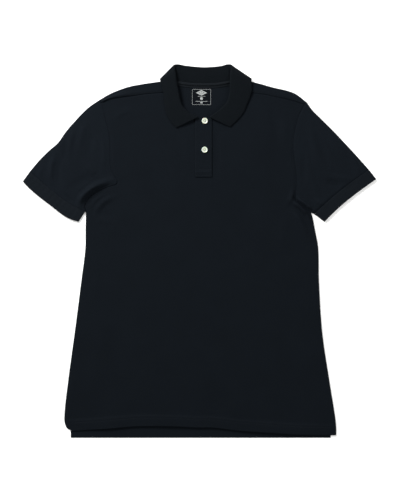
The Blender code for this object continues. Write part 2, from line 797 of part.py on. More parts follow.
def build_button(name, centre, base, surface):
    """A four-hole button with a raised rim."""
    rings = [ring(r.radius, base + r.z, centre, BUTTON_SIDES) for r in BUTTON_PROFILE]
    points = flat(rings)
    faces = tube_quads(rings)
    top_z, low_z = base + BUTTON_PROFILE[-1].z, base + BUTTON_PROFILE[0].z
    tops, lows = [rings[-1]], [rings[0]]
    top_ids = [list(range(len(points) - BUTTON_SIDES, len(points)))]
    low_ids = [list(range(BUTTON_SIDES))]
    for sx, sy in ((1, 1), (-1, 1), (-1, -1), (1, -1)):
        middle = (centre[0] + sx * BUTTON_HOLE_SPACING, centre[1] + sy * BUTTON_HOLE_SPACING)
        for z, loops, ids in ((top_z, tops, top_ids), (low_z, lows, low_ids)):
            start = len(points)
            loop = ring(BUTTON_HOLE_RADIUS, z, middle, BUTTON_HOLE_SIDES)
            points.extend(loop)
            loops.append(loop)
            ids.append(list(range(start, start + BUTTON_HOLE_SIDES)))
        for k in range(BUTTON_HOLE_SIDES):
            n = (k + 1) % BUTTON_HOLE_SIDES
            faces.append((top_ids[-1][k], top_ids[-1][n], low_ids[-1][n], low_ids[-1][k]))
    for loops, ids, up in ((tops, top_ids, True), (lows, low_ids, False)):
        numbers = [i for loop in ids for i in loop]
        for t in tessellate_polygon(loops):
            f = tuple(numbers[i] for i in t)
            a, b, c = (points[i] for i in f)
            rising = (b - a).cross(c - a).z > 0
            faces.append(f if rising == up else f[::-1])
    solid(name, points, faces, surface)


def main():
    for old in list(bpy.data.objects):
        bpy.data.objects.remove(old, do_unlink=True)

    pique = material("navy_pique", (0.010, 0.0125, 0.017), 0.9)
    rib = material("navy_rib", (0.011, 0.014, 0.019), 0.9)
    tape = material("neck_tape_cloth", (0.012, 0.0145, 0.019), 0.85)
    film = material("neck_print_film", (0.03, 0.034, 0.04), 0.7)
    ivory = material("button_ivory", (0.82, 0.83, 0.72), 0.35)

    front = front_points()
    build_back(pique)
    build_front(front, pique)
    outer = build_placket(front, pique)
    build_sleeve("left", FRONT_LEFT, SLEEVE_FOLD_LEFT, CUFF_SEAM_LEFT, CUFF_HEM_LEFT, 1, pique, rib)
    build_sleeve("right", FRONT_RIGHT, SLEEVE_FOLD_RIGHT, CUFF_SEAM_RIGHT, CUFF_HEM_RIGHT, -1, pique, rib)
    build_collar(rib)
    build_tape(tape)
    build_print(film)
    for name, centre in BUTTON_CENTRES.items():
        highest = max(p.z for row in outer for p in row if abs(p.y - centre[1]) < BUTTON_REST_REACH)
        build_button(name, centre, highest + SEAM_GAP, ivory)


main()
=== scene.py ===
"""Polo shirt lying flat on its back: a thin shell of cloth for each sewn piece, with stitches and buttons.

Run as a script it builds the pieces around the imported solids. All tables are in millimetres: X runs from one
sleeve to the other, Y from the tail to the collar and Z up from the surface that the shirt lies on.
"""

import math
from collections import namedtuple

import bpy
import numpy as np
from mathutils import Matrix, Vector, noise
from mathutils.bvhtree import BVHTree
from mathutils.geometry import tessellate_polygon


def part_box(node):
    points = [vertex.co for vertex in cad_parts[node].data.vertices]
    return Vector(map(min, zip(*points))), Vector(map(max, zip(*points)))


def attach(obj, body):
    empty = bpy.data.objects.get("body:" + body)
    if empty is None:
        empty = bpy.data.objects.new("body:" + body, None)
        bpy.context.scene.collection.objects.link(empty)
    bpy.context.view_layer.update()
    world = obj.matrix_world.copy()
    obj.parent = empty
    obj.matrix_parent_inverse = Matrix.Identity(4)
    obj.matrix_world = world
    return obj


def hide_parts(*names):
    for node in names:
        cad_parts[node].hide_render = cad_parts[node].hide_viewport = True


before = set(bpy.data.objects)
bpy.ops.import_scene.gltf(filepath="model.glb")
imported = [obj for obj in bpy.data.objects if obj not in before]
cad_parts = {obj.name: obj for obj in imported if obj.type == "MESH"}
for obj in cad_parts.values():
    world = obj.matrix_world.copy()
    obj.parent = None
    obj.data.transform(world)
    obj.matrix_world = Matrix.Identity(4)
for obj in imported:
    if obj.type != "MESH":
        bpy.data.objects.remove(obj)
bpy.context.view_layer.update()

bl_info = {
    "name": "Polo shirt",
    "version": (1, 0, 0),
    "blender": (4, 5, 0),
    "location": "3D View > Sidebar > Polo",
    "description": "Builds a short-sleeved polo shirt lying flat",
    "category": "Object",
}

MM = 0.001
BODY = "root"

# ---- the cut of the shirt, in millimetres ----

PLACKET_LEFT = -9.0
PLACKET_RIGHT = 25.0
SLOT_MARGIN = 3.0
SLOT_COLUMNS = 10
PLACKET_BOTTOM = 148.0
SLOT_BOTTOM = 152.0
NECK_FRONT = 265.6
NECK_BACK = 331.5
HEM_HEIGHT = 2.9
NECK_HEIGHT = 4.3
CENTRE_HEIGHT = 3.0
CENTRE_RISE = 1.4
CLOTH_LOFT = 0.8
SHOULDER_LOFT = (2.8, 0.6)
BUTTON_CENTRES = {"button_top": (10.6, 259.6), "button_bottom": (10.2, 202.0)}
BUTTON_THREAD_RADIUS = 0.2
BUTTON_HOLE_PLACE = 1.65
BUTTON_HOLE_RADIUS = 0.85
PRINT_CENTRE = (4.0, 308.0)
PRINT_SIZE = (38.0, 32.0)
PRINT_FRAME = 0.4
PRINT_GROUND_HEIGHT = 0.2
PRINT_INK_HEIGHT = 0.12
PRINT_BARS = ((1.4, 15.0, 0.6), (-3.0, 5.2, 5.0), (-8.7, 24.0, 0.7), (-11.6, 5.0, 2.2))
PRINT_LOZENGES = ((11.0, 6.4), (5.0, 1.2))
PRINT_LOZENGE_RISE = 8.4
PLACKET_BOX_TOP = 166.0
PLACKET_BOX_MIDDLE = 157.5
PLACKET_ROWS = (150.5, 163.5)
PLACKET_STITCH_INSET = 1.9
TAPE_ROWS = (-4.6, 2.4)
FOLD_RADIUS = 2.1
SEAM_GAP = 0.3
CUFF_GAP = 0.1
ARMHOLE_GAP = 0.06
SEAM_DIP = 0.4
CUFF_EDGE_DIP = 0.25

# One row to a station up the sides: side seams, underarm creases, armholes. It gives both edges, the height
# of the upper face there and where the row crosses the centre front.
Row = namedtuple("Row", "left_x left_y right_x right_y z mid")
Side = namedtuple("Side", "x y z mid")
FRONT_TABLE = (
    (-256, -359, 273, -368, 2.6, -352),
    (-266, -352, 273, -352, 2.6, -341),
    (-270, -333, 270, -325, 2.6, -325),
    (-262, -257, 259, -257, 2.6, -256),
    (-249, -161, 245, -161, 2.6, -170),
    (-236, -60, 238.5, -60, 2.6, -84),
    (-228, 5, 237, 5, 2.6, -30),
    (-227.5, 42, 230, 45, 2.6, 0),
    (-227, 77, 223, 76, 2.6, 26),
    (-229, 93, 215, 82.5, 2.6, 44),
    (-216, 111, 207.5, 89, 2.7, 62),
    (-190, 125.5, 200, 95.5, 2.8, 82),
    (-165.5, 135, 192.5, 102, 3.0, 104),
    (-176, 156, 194, 130, 4.0, 132),
    (-179, 172, 194, 148, 4.3, PLACKET_BOTTOM),
    (-179.5, 180, 193.5, 156, 4.3, SLOT_BOTTOM),
    (-181, 230, 187.5, 215, 4.3, 208),
    (-190, 270, 197, 266, 4.3, 242),
    (-196, 296, 209, 293, 4.3, NECK_FRONT),
)
CREASE_START = 8
CREASE_END = 12
BACK_TABLE = (
    (-257, -373, 262, -373, 0, -373),
    (-258, -356, 264, -352, 0, -352),
    (-263, -330, 264, -325, 0, -325),
    (-261, -257, 258, -257, 0, -256),
    (-248.4, -161, 244.4, -161, 0, -170),
    (-235.4, -60, 237.9, -60, 0, -84),
    (-227.4, 5, 236.4, 5, 0, -30),
    (-226.9, 42, 229.4, 45, 0, 0),
)


def sides_of(rows):
    """The left and the right edge of a body panel, as stations."""
    table = [Row(*row) for row in rows]
    left = tuple(Side(r.left_x, r.left_y, r.z, r.mid) for r in table)
    return left, tuple(Side(r.right_x, r.right_y, r.z, r.mid) for r in table)


FRONT_LEFT, FRONT_RIGHT = sides_of(FRONT_TABLE)
BACK_LEFT, BACK_RIGHT = sides_of(BACK_TABLE)
FRONT_HEM_LEFT = (
    (-256, -359), (-224, -357), (-178, -354), (-134, -350), (-95, -349), (-40, -350), (-9, -352),
)
FRONT_HEM_RIGHT = ((273, -368), (211, -367), (145, -363), (77, -358), (25, -352))
BACK_HEM_LEFT = ((-257, -373), (-9, -373))
BACK_HEM_RIGHT = ((262, -373), (25, -373))
SHOULDER_SEAM_LEFT = ((-196, 296), (-178, 303), (-135, 309), (-104, 313.5), (-64, 316.5))
SHOULDER_SEAM_RIGHT = ((209, 293), (178, 302), (151, 308), (123, 313.5), (90, 316.5))
NECKLINE_LEFT = ((-64, 316.5), (-62, 302), (-53, 285), (-33, 271.5), (-9, NECK_FRONT))
NECKLINE_RIGHT = ((90, 316.5), (84, 302), (72, 285), (50, 270), (25, NECK_FRONT))
SHOULDER_FOLD_LEFT = ((-200.5, 301.5), (-177, 315), (-144, 327.5), (-112, 334), (-76, 339))
SHOULDER_FOLD_RIGHT = ((213.5, 298), (188, 316), (143, 328), (124, 333.5), (102, 339))
BACK_NECK_LEFT = ((-76, 339), (-62, 337.5), (-45, 335), (-9, NECK_BACK))
BACK_NECK_RIGHT = ((102, 339), (82, 338), (59, 336), (25, NECK_BACK))
SHOULDER_SHARE = 0.62
NECK_WAY = ((0.62, 0), (0.75, 0.34), (0.88, 0.68), (1, 1))
SHOULDER_WAY = ((0, 0), (0.03, 0.06), (0.15, 0.28), (0.30, 0.52), (0.46, 0.76), (0.62, 1))

SLEEVE_FOLD_LEFT = (
    (-200.7, 301.6), (-224, 285), (-253, 255), (-268.5, 236.5), (-283, 216), (-298, 203), (-318.5, 183),
    (-339, 159),
)
SLEEVE_FOLD_RIGHT = (
    (213.7, 297.9), (225, 282), (239, 268), (271, 236), (303, 202), (322, 181), (338, 163),
)
CUFF_SEAM_LEFT = ((-228.5, 78.5), (-258, 94), (-287, 115.5), (-339, 159))
CUFF_SEAM_RIGHT = ((228.5, 74.5), (279.5, 119.5), (338, 163))
CUFF_HEM_LEFT = (
    (-241.5, 58.5), (-254, 62.5), (-266, 68.5), (-279, 77.5), (-296, 91), (-317, 107), (-338, 124.5),
    (-353, 139.5),
)
CUFF_HEM_RIGHT = ((249.5, 58.5), (262, 71.5), (282, 90), (300, 105), (314, 116), (353, 144))
SLEEVE_HEIGHT = 4.6
CUFF_HEIGHT = 5.0

# A crease runs on a curve through three points. It is a soft ridge, or a trough where its height is negative.
Crease = namedtuple("Crease", "x0 y0 xm ym x1 y1 width height")


def creases(*rows):
    """A table of creases."""
    return [Crease(*row) for row in rows]


BODY_CREASES = creases(
    (-186, 281, -140, 299, -92, 301, 11, -1.1),
    (-172, 262, -152, 277, -128, 284, 10, 1.3),
    (-150, 250, -118, 262, -84, 262, 16, -0.5),
    (141, 306, 150, 262, 158, 222, 13, -1.3),
    (168, 292, 171, 250, 168, 208, 12, 0.9),
    (122, 296, 128, 250, 140, 196, 20, 0.5),
    (-218, 84, -207, 101, -190, 113, 4, 1.8),
    (-208, 72, -195, 95, -170, 108, 9, 3.4),
    (-208, 66, -193, 62, -168, 58, 12, 1.3),
    (-218, 70, -188, 48, -150, 34, 16, 0.7),
    (184, 99, 202, 86, 217, 70, 7, 6.8),
    (176, 96, 184, 108, 187, 122, 8, 3.4),
    (187, 80, 203, 56, 219, 24, 9, 3.6),
    (213, 78, 221, 60, 232, 40, 5, 2.6),
    (176, 70, 168, 40, 172, 0, 16, 0.9),
    (33, 250, 35, 200, 34, 146, 11, -1.1),
    (-22, 236, -25, 196, -20, 158, 13, 0.5),
    (-120, 40, -90, -40, -70, -120, 46, 0.9),
    (110, 20, 128, -60, 150, -150, 42, 1.0),
    (-190, -150, -206, -220, -215, -300, 28, 1.0),
    (-150, -120, -166, -210, -160, -290, 34, -0.7),
    (200, -190, 214, -250, 222, -310, 26, 0.9),
    (170, -120, 178, -200, 168, -280, 30, -0.6),
    (-30, -150, -2, -230, 20, -300, 40, 0.8),
    (60, -60, 74, -140, 66, -220, 34, -0.6),
    (-215, 20, -206, -50, -212, -110, 14, 0.7),
    (222, 6, 214, -60, 221, -130, 14, 0.6),
    (-60, 120, -40, 60, -48, 0, 36, 0.6),
    (70, 130, 90, 80, 84, 20, 34, -0.5),
    (-130, 200, -120, 150, -128, 100, 30, 0.6),
    (120, 180, 132, 140, 126, 90, 26, 0.6),
)
SLEEVE_CREASES = creases(
    (-288, 194, -296, 166, -295, 137, 9, 3.0),
    (-274, 190, -281, 160, -279, 132, 8, -1.2),
    (-240, 90, -223, 119, -176, 142, 10, 9.0),
    (-262, 118, -240, 138, -204, 152, 13, -1.0),
    (-270, 116, -262, 106, -252, 98, 6, -1.2),
    (-246, 246, -258, 222, -262, 192, 12, 1.8),
    (-226, 254, -236, 232, -240, 198, 12, 2.0),
    (-210, 240, -218, 214, -222, 176, 12, -1.2),
    (-262, 226, -268, 200, -266, 176, 8, -1.4),
    (-226, 176, -216, 162, -206, 152, 11, 1.4),
    (-194, 228, -190, 196, -192, 160, 9, 1.7),
    (-312, 170, -320, 150, -314, 134, 8, 1.4),
    (-306, 130, -296, 120, -284, 114, 7, 1.0),
    (250, 140, 266, 134, 284, 124, 11, -2.2),
    (252, 152, 280, 146, 308, 142, 9, 1.5),
    (232, 102, 242, 96, 254, 92, 8, 2.2),
    (288, 124, 302, 130, 314, 142, 7, -1.2),
    (195, 105, 211, 92, 227, 79, 7, 8.5),
    (236, 116, 228, 134, 214, 156, 12, 1.4),
    (250, 240, 274, 210, 292, 178, 15, 1.3),
    (222, 252, 228, 216, 240, 176, 13, 1.2),
    (240, 224, 250, 190, 266, 164, 11, -1.1),
    (206, 200, 209, 168, 206, 134, 10, -1.0),
    (300, 188, 312, 168, 318, 150, 9, 1.2),
)
BACK_CREASES = creases(
    (-150, 250, -60, 190, 20, 160, 34, 0.7),
    (170, 240, 100, 170, 60, 110, 30, 0.6),
    (-205, 60, -150, 20, -90, 10, 26, 0.8),
    (205, 50, 160, 0, 90, -20, 24, 0.8),
    (-120, -60, -80, -160, -90, -260, 32, 0.7),
    (90, -90, 120, -180, 100, -290, 36, 0.6),
    (-20, 60, 10, -40, -5, -150, 40, 0.5),
    (-215, -170, -224, -230, -230, -300, 16, 0.6),
    (216, -180, 226, -240, 232, -300, 16, 0.6),
)

# One row to a section of the collar. The seam joins the neck, the roll is where it turns over and the edge is
# free. lean is the side on which the leaf lies: 90 above the stand, 0 outside it, -90 beneath it.
Section = namedtuple("Section", "seam_x seam_y seam_z roll_x roll_y roll_z edge_x edge_y edge_z round lean")
COLLAR = (
    (-5, 265, 7.5, -3, 267.8, 9.2, -47, 246, 6.4, 1.4, 90),
    (-31, 269.5, 5.8, -22, 276.5, 8.6, -59, 260, 6.5, 1.5, 90),
    (-53, 289, 5.8, -36, 292, 8.8, -67, 277, 6.7, 1.7, 90),
    (-60, 306, 5.8, -41, 312, 9.6, -70.5, 299, 7.2, 1.9, 90),
    (-60, 322, 6.4, -45.5, 334, 11.0, -72.5, 321, 8.0, 2.1, 88),
    (-57, 343, 7.4, -48, 354, 12.0, -77.5, 337.5, 8.0, 2.1, 75),
    (-53, 353, 4.4, -50, 367.5, 9.8, -77.5, 343.5, 4.4, 2.1, 15),
    (-47, 338, 3.4, -43, 372, 4.8, -58, 345, 2.0, 2.0, -60),
    (-28, 333.5, 2.6, -27, 369.5, 2.7, -30, 341.5, 1.1, 1.7, -90),
    (7, 331.5, 2.5, 7, 366.5, 2.6, 7, 340, 1.0, 1.6, -90),
    (42, 333.5, 2.6, 40, 368.5, 2.7, 42, 341.5, 1.1, 1.7, -90),
    (61, 338, 3.4, 56, 372, 4.8, 76, 346, 2.0, 2.0, -60),
    (66.5, 353, 4.4, 63, 367.5, 9.8, 102, 344.5, 4.4, 2.1, 15),
    (72, 343, 7.4, 62, 354, 12.0, 103.5, 337.5, 8.0, 2.1, 75),
    (77, 322, 6.4, 61, 334, 11.0, 104, 319, 8.0, 2.1, 88),
    (86, 306, 5.8, 60.5, 315, 9.6, 97, 299, 7.2, 1.9, 90),
    (74, 289, 5.8, 55, 297, 8.8, 88, 277, 6.7, 1.7, 90),
    (49, 272.5, 5.8, 40, 281, 8.6, 75, 261, 6.5, 1.5, 90),
    (22.6, 264.8, 7.5, 20.5, 267.3, 9.2, 61, 247.5, 6.4, 1.4, 90),
)
NECK_MIDDLE = (7, 312)
STAND_BULGE = 0.9
LEAF_BULGE = 0.7

Across = namedtuple("Across", "out z")
TAPE_PROFILE = (Across(-5.5, 2.4), Across(-2.2, 2.7), Across(-0.7, 5.1), Across(3.4, 5.6))
COLLAR_RIDGES = ((2.2, 0.8, 0.16), (5.4, 0.9, 0.14))
TAPE_LINE = ((-46.5, 336), (-19, 332.2), (7, 331.5), (33, 332.2), (61, 336.6))

# ---- how finely each piece is made ----

ROW_PITCH = 3.4
HEM_PITCH = 1.5
HEM_SPANS = 2
HEM_DEPTH = 22.0
HEM_ROWS = (HEM_DEPTH - 6.5, HEM_DEPTH - 1.5)
HEM_LIFT = 2.6
HEM_FOLD = 0.9
STITCH_GROOVE = 0.22
SIDE_DIP = 0.15
SIDE_DIP_REACH = 3.2
# How far from its sides, hem and neck a panel's creases reach their full height.
FRONT_MARGINS = (8, 16, 40)
BACK_MARGINS = (18, 24, 40)
COLLAR_STEPS = 14
STAND_STEPS = 10
ROLL_STEPS = 10
LEAF_STEPS = 24
SLEEVE_ROWS = 84
TURN_STEPS = 7
RIM_ROUND = 0.3
CUFF_ROWS = 14
RIB_SAMPLES = 6


# ---- lines and sheets ----


def fade(t):
    """Runs smoothly from 0 to 1 and stays there."""
    t = np.clip(t, 0.0, 1.0)
    return t * t * (3 - 2 * t)


def smooth(points, steps):
    """Points on a smooth line through the given ones, with a set number of steps to each span."""
    pts = np.array(points, dtype=float)
    out = [pts[:1]]
    last = len(pts) - 1
    for i, count in enumerate(steps[:last]):
        b, c = pts[i], pts[i + 1]
        a, d = pts[max(i - 1, 0)], pts[min(i + 2, last)]
        span = np.linalg.norm(c - b)
        leave = (c - a) * (span / max(np.linalg.norm(b - a) + span, 1e-9))
        arrive = (d - b) * (span / max(np.linalg.norm(d - c) + span, 1e-9))
        t = (np.arange(1, count + 1) / count)[:, None]
        ahead = t**3 * 2 - t**2 * 3
        out.append(b * (ahead + 1) + leave * (t**3 - 2 * t**2 + t) - c * ahead + arrive * (t**3 - t**2))
    return np.concatenate(out)


def bell(values, middle, width):
    """A rounded bump of height 1 round a middle value."""
    return np.exp(-(((values - middle) / width) ** 2))


def spread(*runs):
    """Parts of uneven pitch: each run is its start, its end and its number of points."""
    return np.concatenate([np.linspace(*run)[:-1] for run in runs] + [[float(runs[-1][1])]])


def run_lengths(line):
    """Distance along a line at each of its points."""
    steps = np.linalg.norm(np.diff(line, axis=0), axis=1)
    return np.concatenate(([0.0], np.cumsum(steps)))


def run_across(rows):
    """Distance along each row of a sheet at each of its points."""
    steps = np.linalg.norm(np.diff(rows, axis=1), axis=2)
    return np.concatenate([np.zeros((len(rows), 1)), np.cumsum(steps, axis=1)], axis=1)


def at_parts(line, parts):
    """Points at the given parts of a line's length."""
    runs = run_lengths(line)
    want = np.asarray(parts) * runs[-1]
    return np.stack([np.interp(want, runs, line[:, k]) for k in range(line.shape[1])], axis=1)


def along(points, parts):
    """Points at the given parts of the length of a smooth line through the given ones."""
    return at_parts(smooth(points, [24] * (len(points) - 1)), parts)


def headings(line):
    """Unit directions along a line at its points."""
    ways = np.empty_like(line)
    ways[1:-1] = line[2:] - line[:-2]
    ways[0], ways[-1] = line[1] - line[0], line[-1] - line[-2]
    return ways / np.linalg.norm(ways, axis=1)[:, None]


def shifted(line, distance):
    """A line moved sideways in plan, to its left when the distance is positive."""
    tangent = headings(line[:, :2])
    out = line.copy()
    out[:, 0] -= tangent[:, 1] * distance
    out[:, 1] += tangent[:, 0] * distance
    return out
def lifted(line, z):
    """A plan line at one height."""
    return np.column_stack([line[:, :2], np.full(len(line), float(z))])


def coons(bottom, top, left, right, us, vs):
    """A sheet of rows of points spanned between four edges that meet at their ends."""
    u, v = np.asarray(us)[None, :, None], np.asarray(vs)[:, None, None]
    ends = left[:, None] * (1 - u) + right[:, None] * u
    sides = bottom[None] * (1 - v) + top[None] * v
    low = bottom[0] * (1 - u) + bottom[-1] * u
    high = top[0] * (1 - u) + top[-1] * u
    return ends + sides - low * (1 - v) - high * v


def relief(table, x, y):
    """Height that the creases add at each point."""
    total = np.zeros_like(x)
    t = np.linspace(0, 1, 11)[:, None]
    for c in table:
        start, middle, end = (np.array(p) for p in ((c.x0, c.y0), (c.xm, c.ym), (c.x1, c.y1)))
        bend = 2 * middle - (start + end) / 2
        line = start * (1 - t) ** 2 + bend * 2 * t * (1 - t) + end * t**2
        nearest = np.full(x.shape, 1e9)
        part = np.zeros_like(x)
        for k in range(len(line) - 1):
            a, d = line[k], line[k + 1] - line[k]
            s = np.clip(((x - a[0]) * d[0] + (y - a[1]) * d[1]) / d.dot(d), 0, 1)
            away = np.hypot(x - a[0] - s * d[0], y - a[1] - s * d[1])
            closer = away < nearest
            nearest = np.where(closer, away, nearest)
            part = np.where(closer, (k + s) / (len(line) - 1), part)
        taper = 0.25 + 0.75 * fade(part * 3) * fade((1 - part) * 3)
        total += c.height * taper * (1 - fade(nearest / c.width))
    return total


def ripple(x, y, pitch, seed):
    """Smooth irregular waves from -1 to 1 at each point."""
    flat_x, flat_y = np.ravel(x) / pitch, np.ravel(y) / pitch
    values = [noise.noise(Vector((a, b, seed))) for a, b in zip(flat_x, flat_y)]
    return np.array(values).reshape(np.shape(x))


def crumple(x, y, seed):
    """Slight unevenness of washed cloth, in millimetres."""
    waves = ((0.5, 74, 0), (0.16, 27, 7), (0.04, 9, 13))
    return sum(height * ripple(x, y, pitch, seed + more) for height, pitch, more in waves)


def edge_points(stations, steps, z=None):
    """The edge of a body panel through its stations."""
    return smooth([(s.x, s.y, s.z if z is None else z) for s in stations], steps)


def row_steps(left, right):
    """Rows of cloth points between the stations, close together in the hem."""
    out = []
    for k in range(len(left) - 1):
        reach = [math.dist(side[k][:2], side[k + 1][:2]) for side in (left, right)]
        reach.append(abs(left[k + 1].mid - left[k].mid))
        out.append(math.ceil(max(reach) / (HEM_PITCH if k < HEM_SPANS else ROW_PITCH)))
    return out


def row_middles(stations, steps):
    """Where each row of a body panel crosses the centre."""
    mids = [np.linspace(a.mid, b.mid, n + 1)[1:] for a, b, n in zip(stations, stations[1:], steps)]
    return np.concatenate([[stations[0].mid]] + mids)


def half_columns():
    """Columns from the side to the placket, close together at the side and beside the placket."""
    return spread((0, 0.036, 7), (0.036, SHOULDER_SHARE, 46), (SHOULDER_SHARE, 0.98, 24), (0.98, 1, 3))
def shoulder_parts():
    """How far along the shoulder each column that ends on it is."""
    us = half_columns()
    return np.interp(us[us <= SHOULDER_SHARE + 1e-9], *np.array(SHOULDER_WAY).T)


def neck_edge(neck):
    """The neckline's points at the columns that end on it."""
    us = half_columns()
    return along(neck, np.interp(us[us > SHOULDER_SHARE + 1e-9], *np.array(NECK_WAY).T))


def panel_half(side, bottom, top, x, mids, centre_z):
    """Half a body panel between its edges, from its side to the placket."""
    centre = np.column_stack([np.full(len(mids), x), mids, np.broadcast_to(centre_z, mids.shape)])
    bottom[0], bottom[-1] = side[0], centre[0]
    top[0], top[-1] = side[-1], centre[-1]
    return coons(bottom, top, side, centre, half_columns(), (mids - mids[0]) / (mids[-1] - mids[0]))
def panel_sheet(halves, middle_parts):
    """Both halves of a body panel and the columns between them, as rows of points."""
    left, right = halves
    parts = np.asarray(middle_parts)[None, :, None]
    between = left[:, -1:] * (1 - parts) + right[:, -1:] * parts
    return np.concatenate([left, between, right[:, ::-1]], axis=1)


def panel_freedom(rows, mids, margins):
    """How far a panel's points are from the sides, and how free: 0 where it is sewn, 1 past its margins."""
    x, y = rows[..., 0], rows[..., 1]
    side, hem, neck = margins
    inside = np.minimum(x - x[:, :1], x[:, -1:] - x)
    return inside, fade(inside / side) * fade((y - y[:1]) / hem) * fade((mids[-1] - mids)[:, None] / neck)


def grid_faces(rows, columns, kept=None):
    """Faces over rows of points; kept is a mask of the cells that are there."""
    j, i = np.mgrid[0 : rows - 1, 0 : columns - 1]
    a = j * columns + i
    faces = np.stack([a, a + 1, a + columns + 1, a + columns], axis=-1)
    return faces[kept] if kept is not None else faces.reshape(-1, 4)


def ring_faces(rows, columns):
    """Faces over rows of points that close on themselves."""
    j, i = np.mgrid[0 : rows - 1, 0:columns]
    a, b = j * columns + i, j * columns + (i + 1) % columns
    return np.stack([a, b, b + columns, a + columns], axis=-1).reshape(-1, 4)


def point_normals(points, faces):
    """Unit normals at the points of a sheet."""
    a, b, c, d = (points[faces[:, k]] for k in range(4))
    crosses = np.cross(c - a, d - b)
    normals = np.zeros_like(points)
    for k in range(4):
        np.add.at(normals, faces[:, k], crosses)
    lengths = np.linalg.norm(normals, axis=1)[:, None]
    return normals / np.maximum(lengths, 1e-12)


# ---- pieces ----


def plan_uvs(points):
    """Cloth coordinates in metres for points that lie flat."""
    return np.asarray(points)[:, :2] * MM


def make_object(name, points, faces, surface, uvs=None):
    """One smooth-shaded object from points in millimetres."""
    mesh = bpy.data.meshes.new(name)
    mesh.from_pydata((np.asarray(points) * MM).tolist(), [], [tuple(f) for f in faces])
    mesh.materials.append(surface)
    if uvs is not None:
        layer = mesh.uv_layers.new(name="cloth")
        corners = np.empty(len(mesh.loops), dtype=np.int64)
        mesh.loops.foreach_get("vertex_index", corners)
        layer.data.foreach_set("uv", np.asarray(uvs, dtype=np.float32)[corners].ravel())
    mesh.shade_smooth()
    mesh.update()
    made = bpy.data.objects.new(name, mesh)
    bpy.context.scene.collection.objects.link(made)
    return made


def shell(name, outer, inner, faces, surface, uvs):
    """Joins two like sheets at their rims into closed cloth with a rounded edge."""
    count = len(outer)
    a, b = faces.ravel(), np.roll(faces, -1, axis=1).ravel()
    bare = ~np.isin(a * count + b, b * count + a)
    a, b = a[bare], b[bare]
    normals = point_normals(outer, faces)
    ways = outer[b] - outer[a]
    outwards = np.cross(ways, normals[a])
    push = np.zeros_like(outer)
    np.add.at(push, a, outwards)
    np.add.at(push, b, outwards)
    edge = np.unique(a)
    ids = np.zeros(count, dtype=np.int64)
    ids[edge] = np.arange(len(edge)) + 2 * count
    lengths = np.linalg.norm(push[edge], axis=1)[:, None]
    half = np.linalg.norm(outer[edge] - inner[edge], axis=1)[:, None] / 2
    middle = (outer[edge] + inner[edge]) / 2 + push[edge] / np.maximum(lengths, 1e-9) * half * RIM_ROUND
    upper = np.stack([b, a, ids[a], ids[b]], axis=1)
    rims = np.concatenate([upper, np.stack([ids[b], ids[a], a + count, b + count], axis=1)])
    used = np.zeros(2 * count + len(edge), dtype=bool)
    everything = np.concatenate([faces, faces[:, ::-1] + count, rims])
    used[everything] = True
    renumber = np.cumsum(used) - 1
    points = np.concatenate([outer, inner, middle])[used]
    both = np.concatenate([uvs, uvs, uvs[edge]])[used]
    return make_object(name, points, renumber[everything], surface, both)


def laid_cloth(name, rows, thickness, surface, faces=None, uv_shift=0.0):
    """Cloth of one thickness under an upper face that is given as rows of points."""
    outer = rows.reshape(-1, 3)
    faces = grid_faces(*rows.shape[:2]) if faces is None else faces
    return shell(name, outer, outer - np.array([0, 0, thickness]), faces, surface, plan_uvs(outer) + uv_shift)


def dress(piece, slot, *nodes):
    """Ties a finished piece to the shirt's body and hides the solids that it stands for. The slot is not used.
    """
    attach(piece, BODY)
    if nodes:
        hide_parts(*nodes)


def piece_named(name):
    """A piece made by an earlier operator."""
    found = bpy.data.objects.get(name)
    if found is None:
        raise RuntimeError(f"build {name} first")
    return found


def surface_tree(*pieces):
    """A search tree over the surfaces of some pieces."""
    points, faces = [], []
    for piece in pieces:
        start = len(points)
        points.extend(v.co for v in piece.data.vertices)
        faces.extend([start + i for i in p.vertices] for p in piece.data.polygons)
    return BVHTree.FromPolygons(points, faces)


def dropped(line, tree):
    """Puts a plan line on a surface, from above. Gives points and normals in millimetres."""
    way = Vector((0, 0, -1))
    found = []
    for p in line:
        start = Vector((p[0] * MM, p[1] * MM, 0.05))
        place, normal, _, _ = tree.ray_cast(start, way)
        if place is not None:
            if normal.dot(way) > 0:
                normal = -normal
            found.append((np.array(place) / MM, np.array(normal)))
    return found


def capsule(start, end, up, radius, sides=6):
    """Points and faces of one sunken stitch, thickest at its middle."""
    along_way = end - start
    length = np.linalg.norm(along_way)
    along_way = along_way / length
    across = np.cross(up, along_way)
    across /= np.linalg.norm(across)
    up = np.cross(along_way, across)
    profile = ((0.0, -1.0, 0.35), (0.16, -0.1, 0.85), (0.5, 0.35, 1.0), (0.84, -0.1, 0.85), (1.0, -1.0, 0.35))
    points = []
    for part, rise, share in profile:
        middle = start + along_way * length * part + up * rise * radius
        for k in range(sides):
            a = 2 * math.pi * k / sides
            points.append(middle + (across * math.cos(a) + up * math.sin(a)) * radius * share)
    faces = ring_faces(len(profile), sides).tolist()
    faces.append(list(range(sides))[::-1])
    faces.append([len(points) - sides + k for k in range(sides)])
    return points, faces


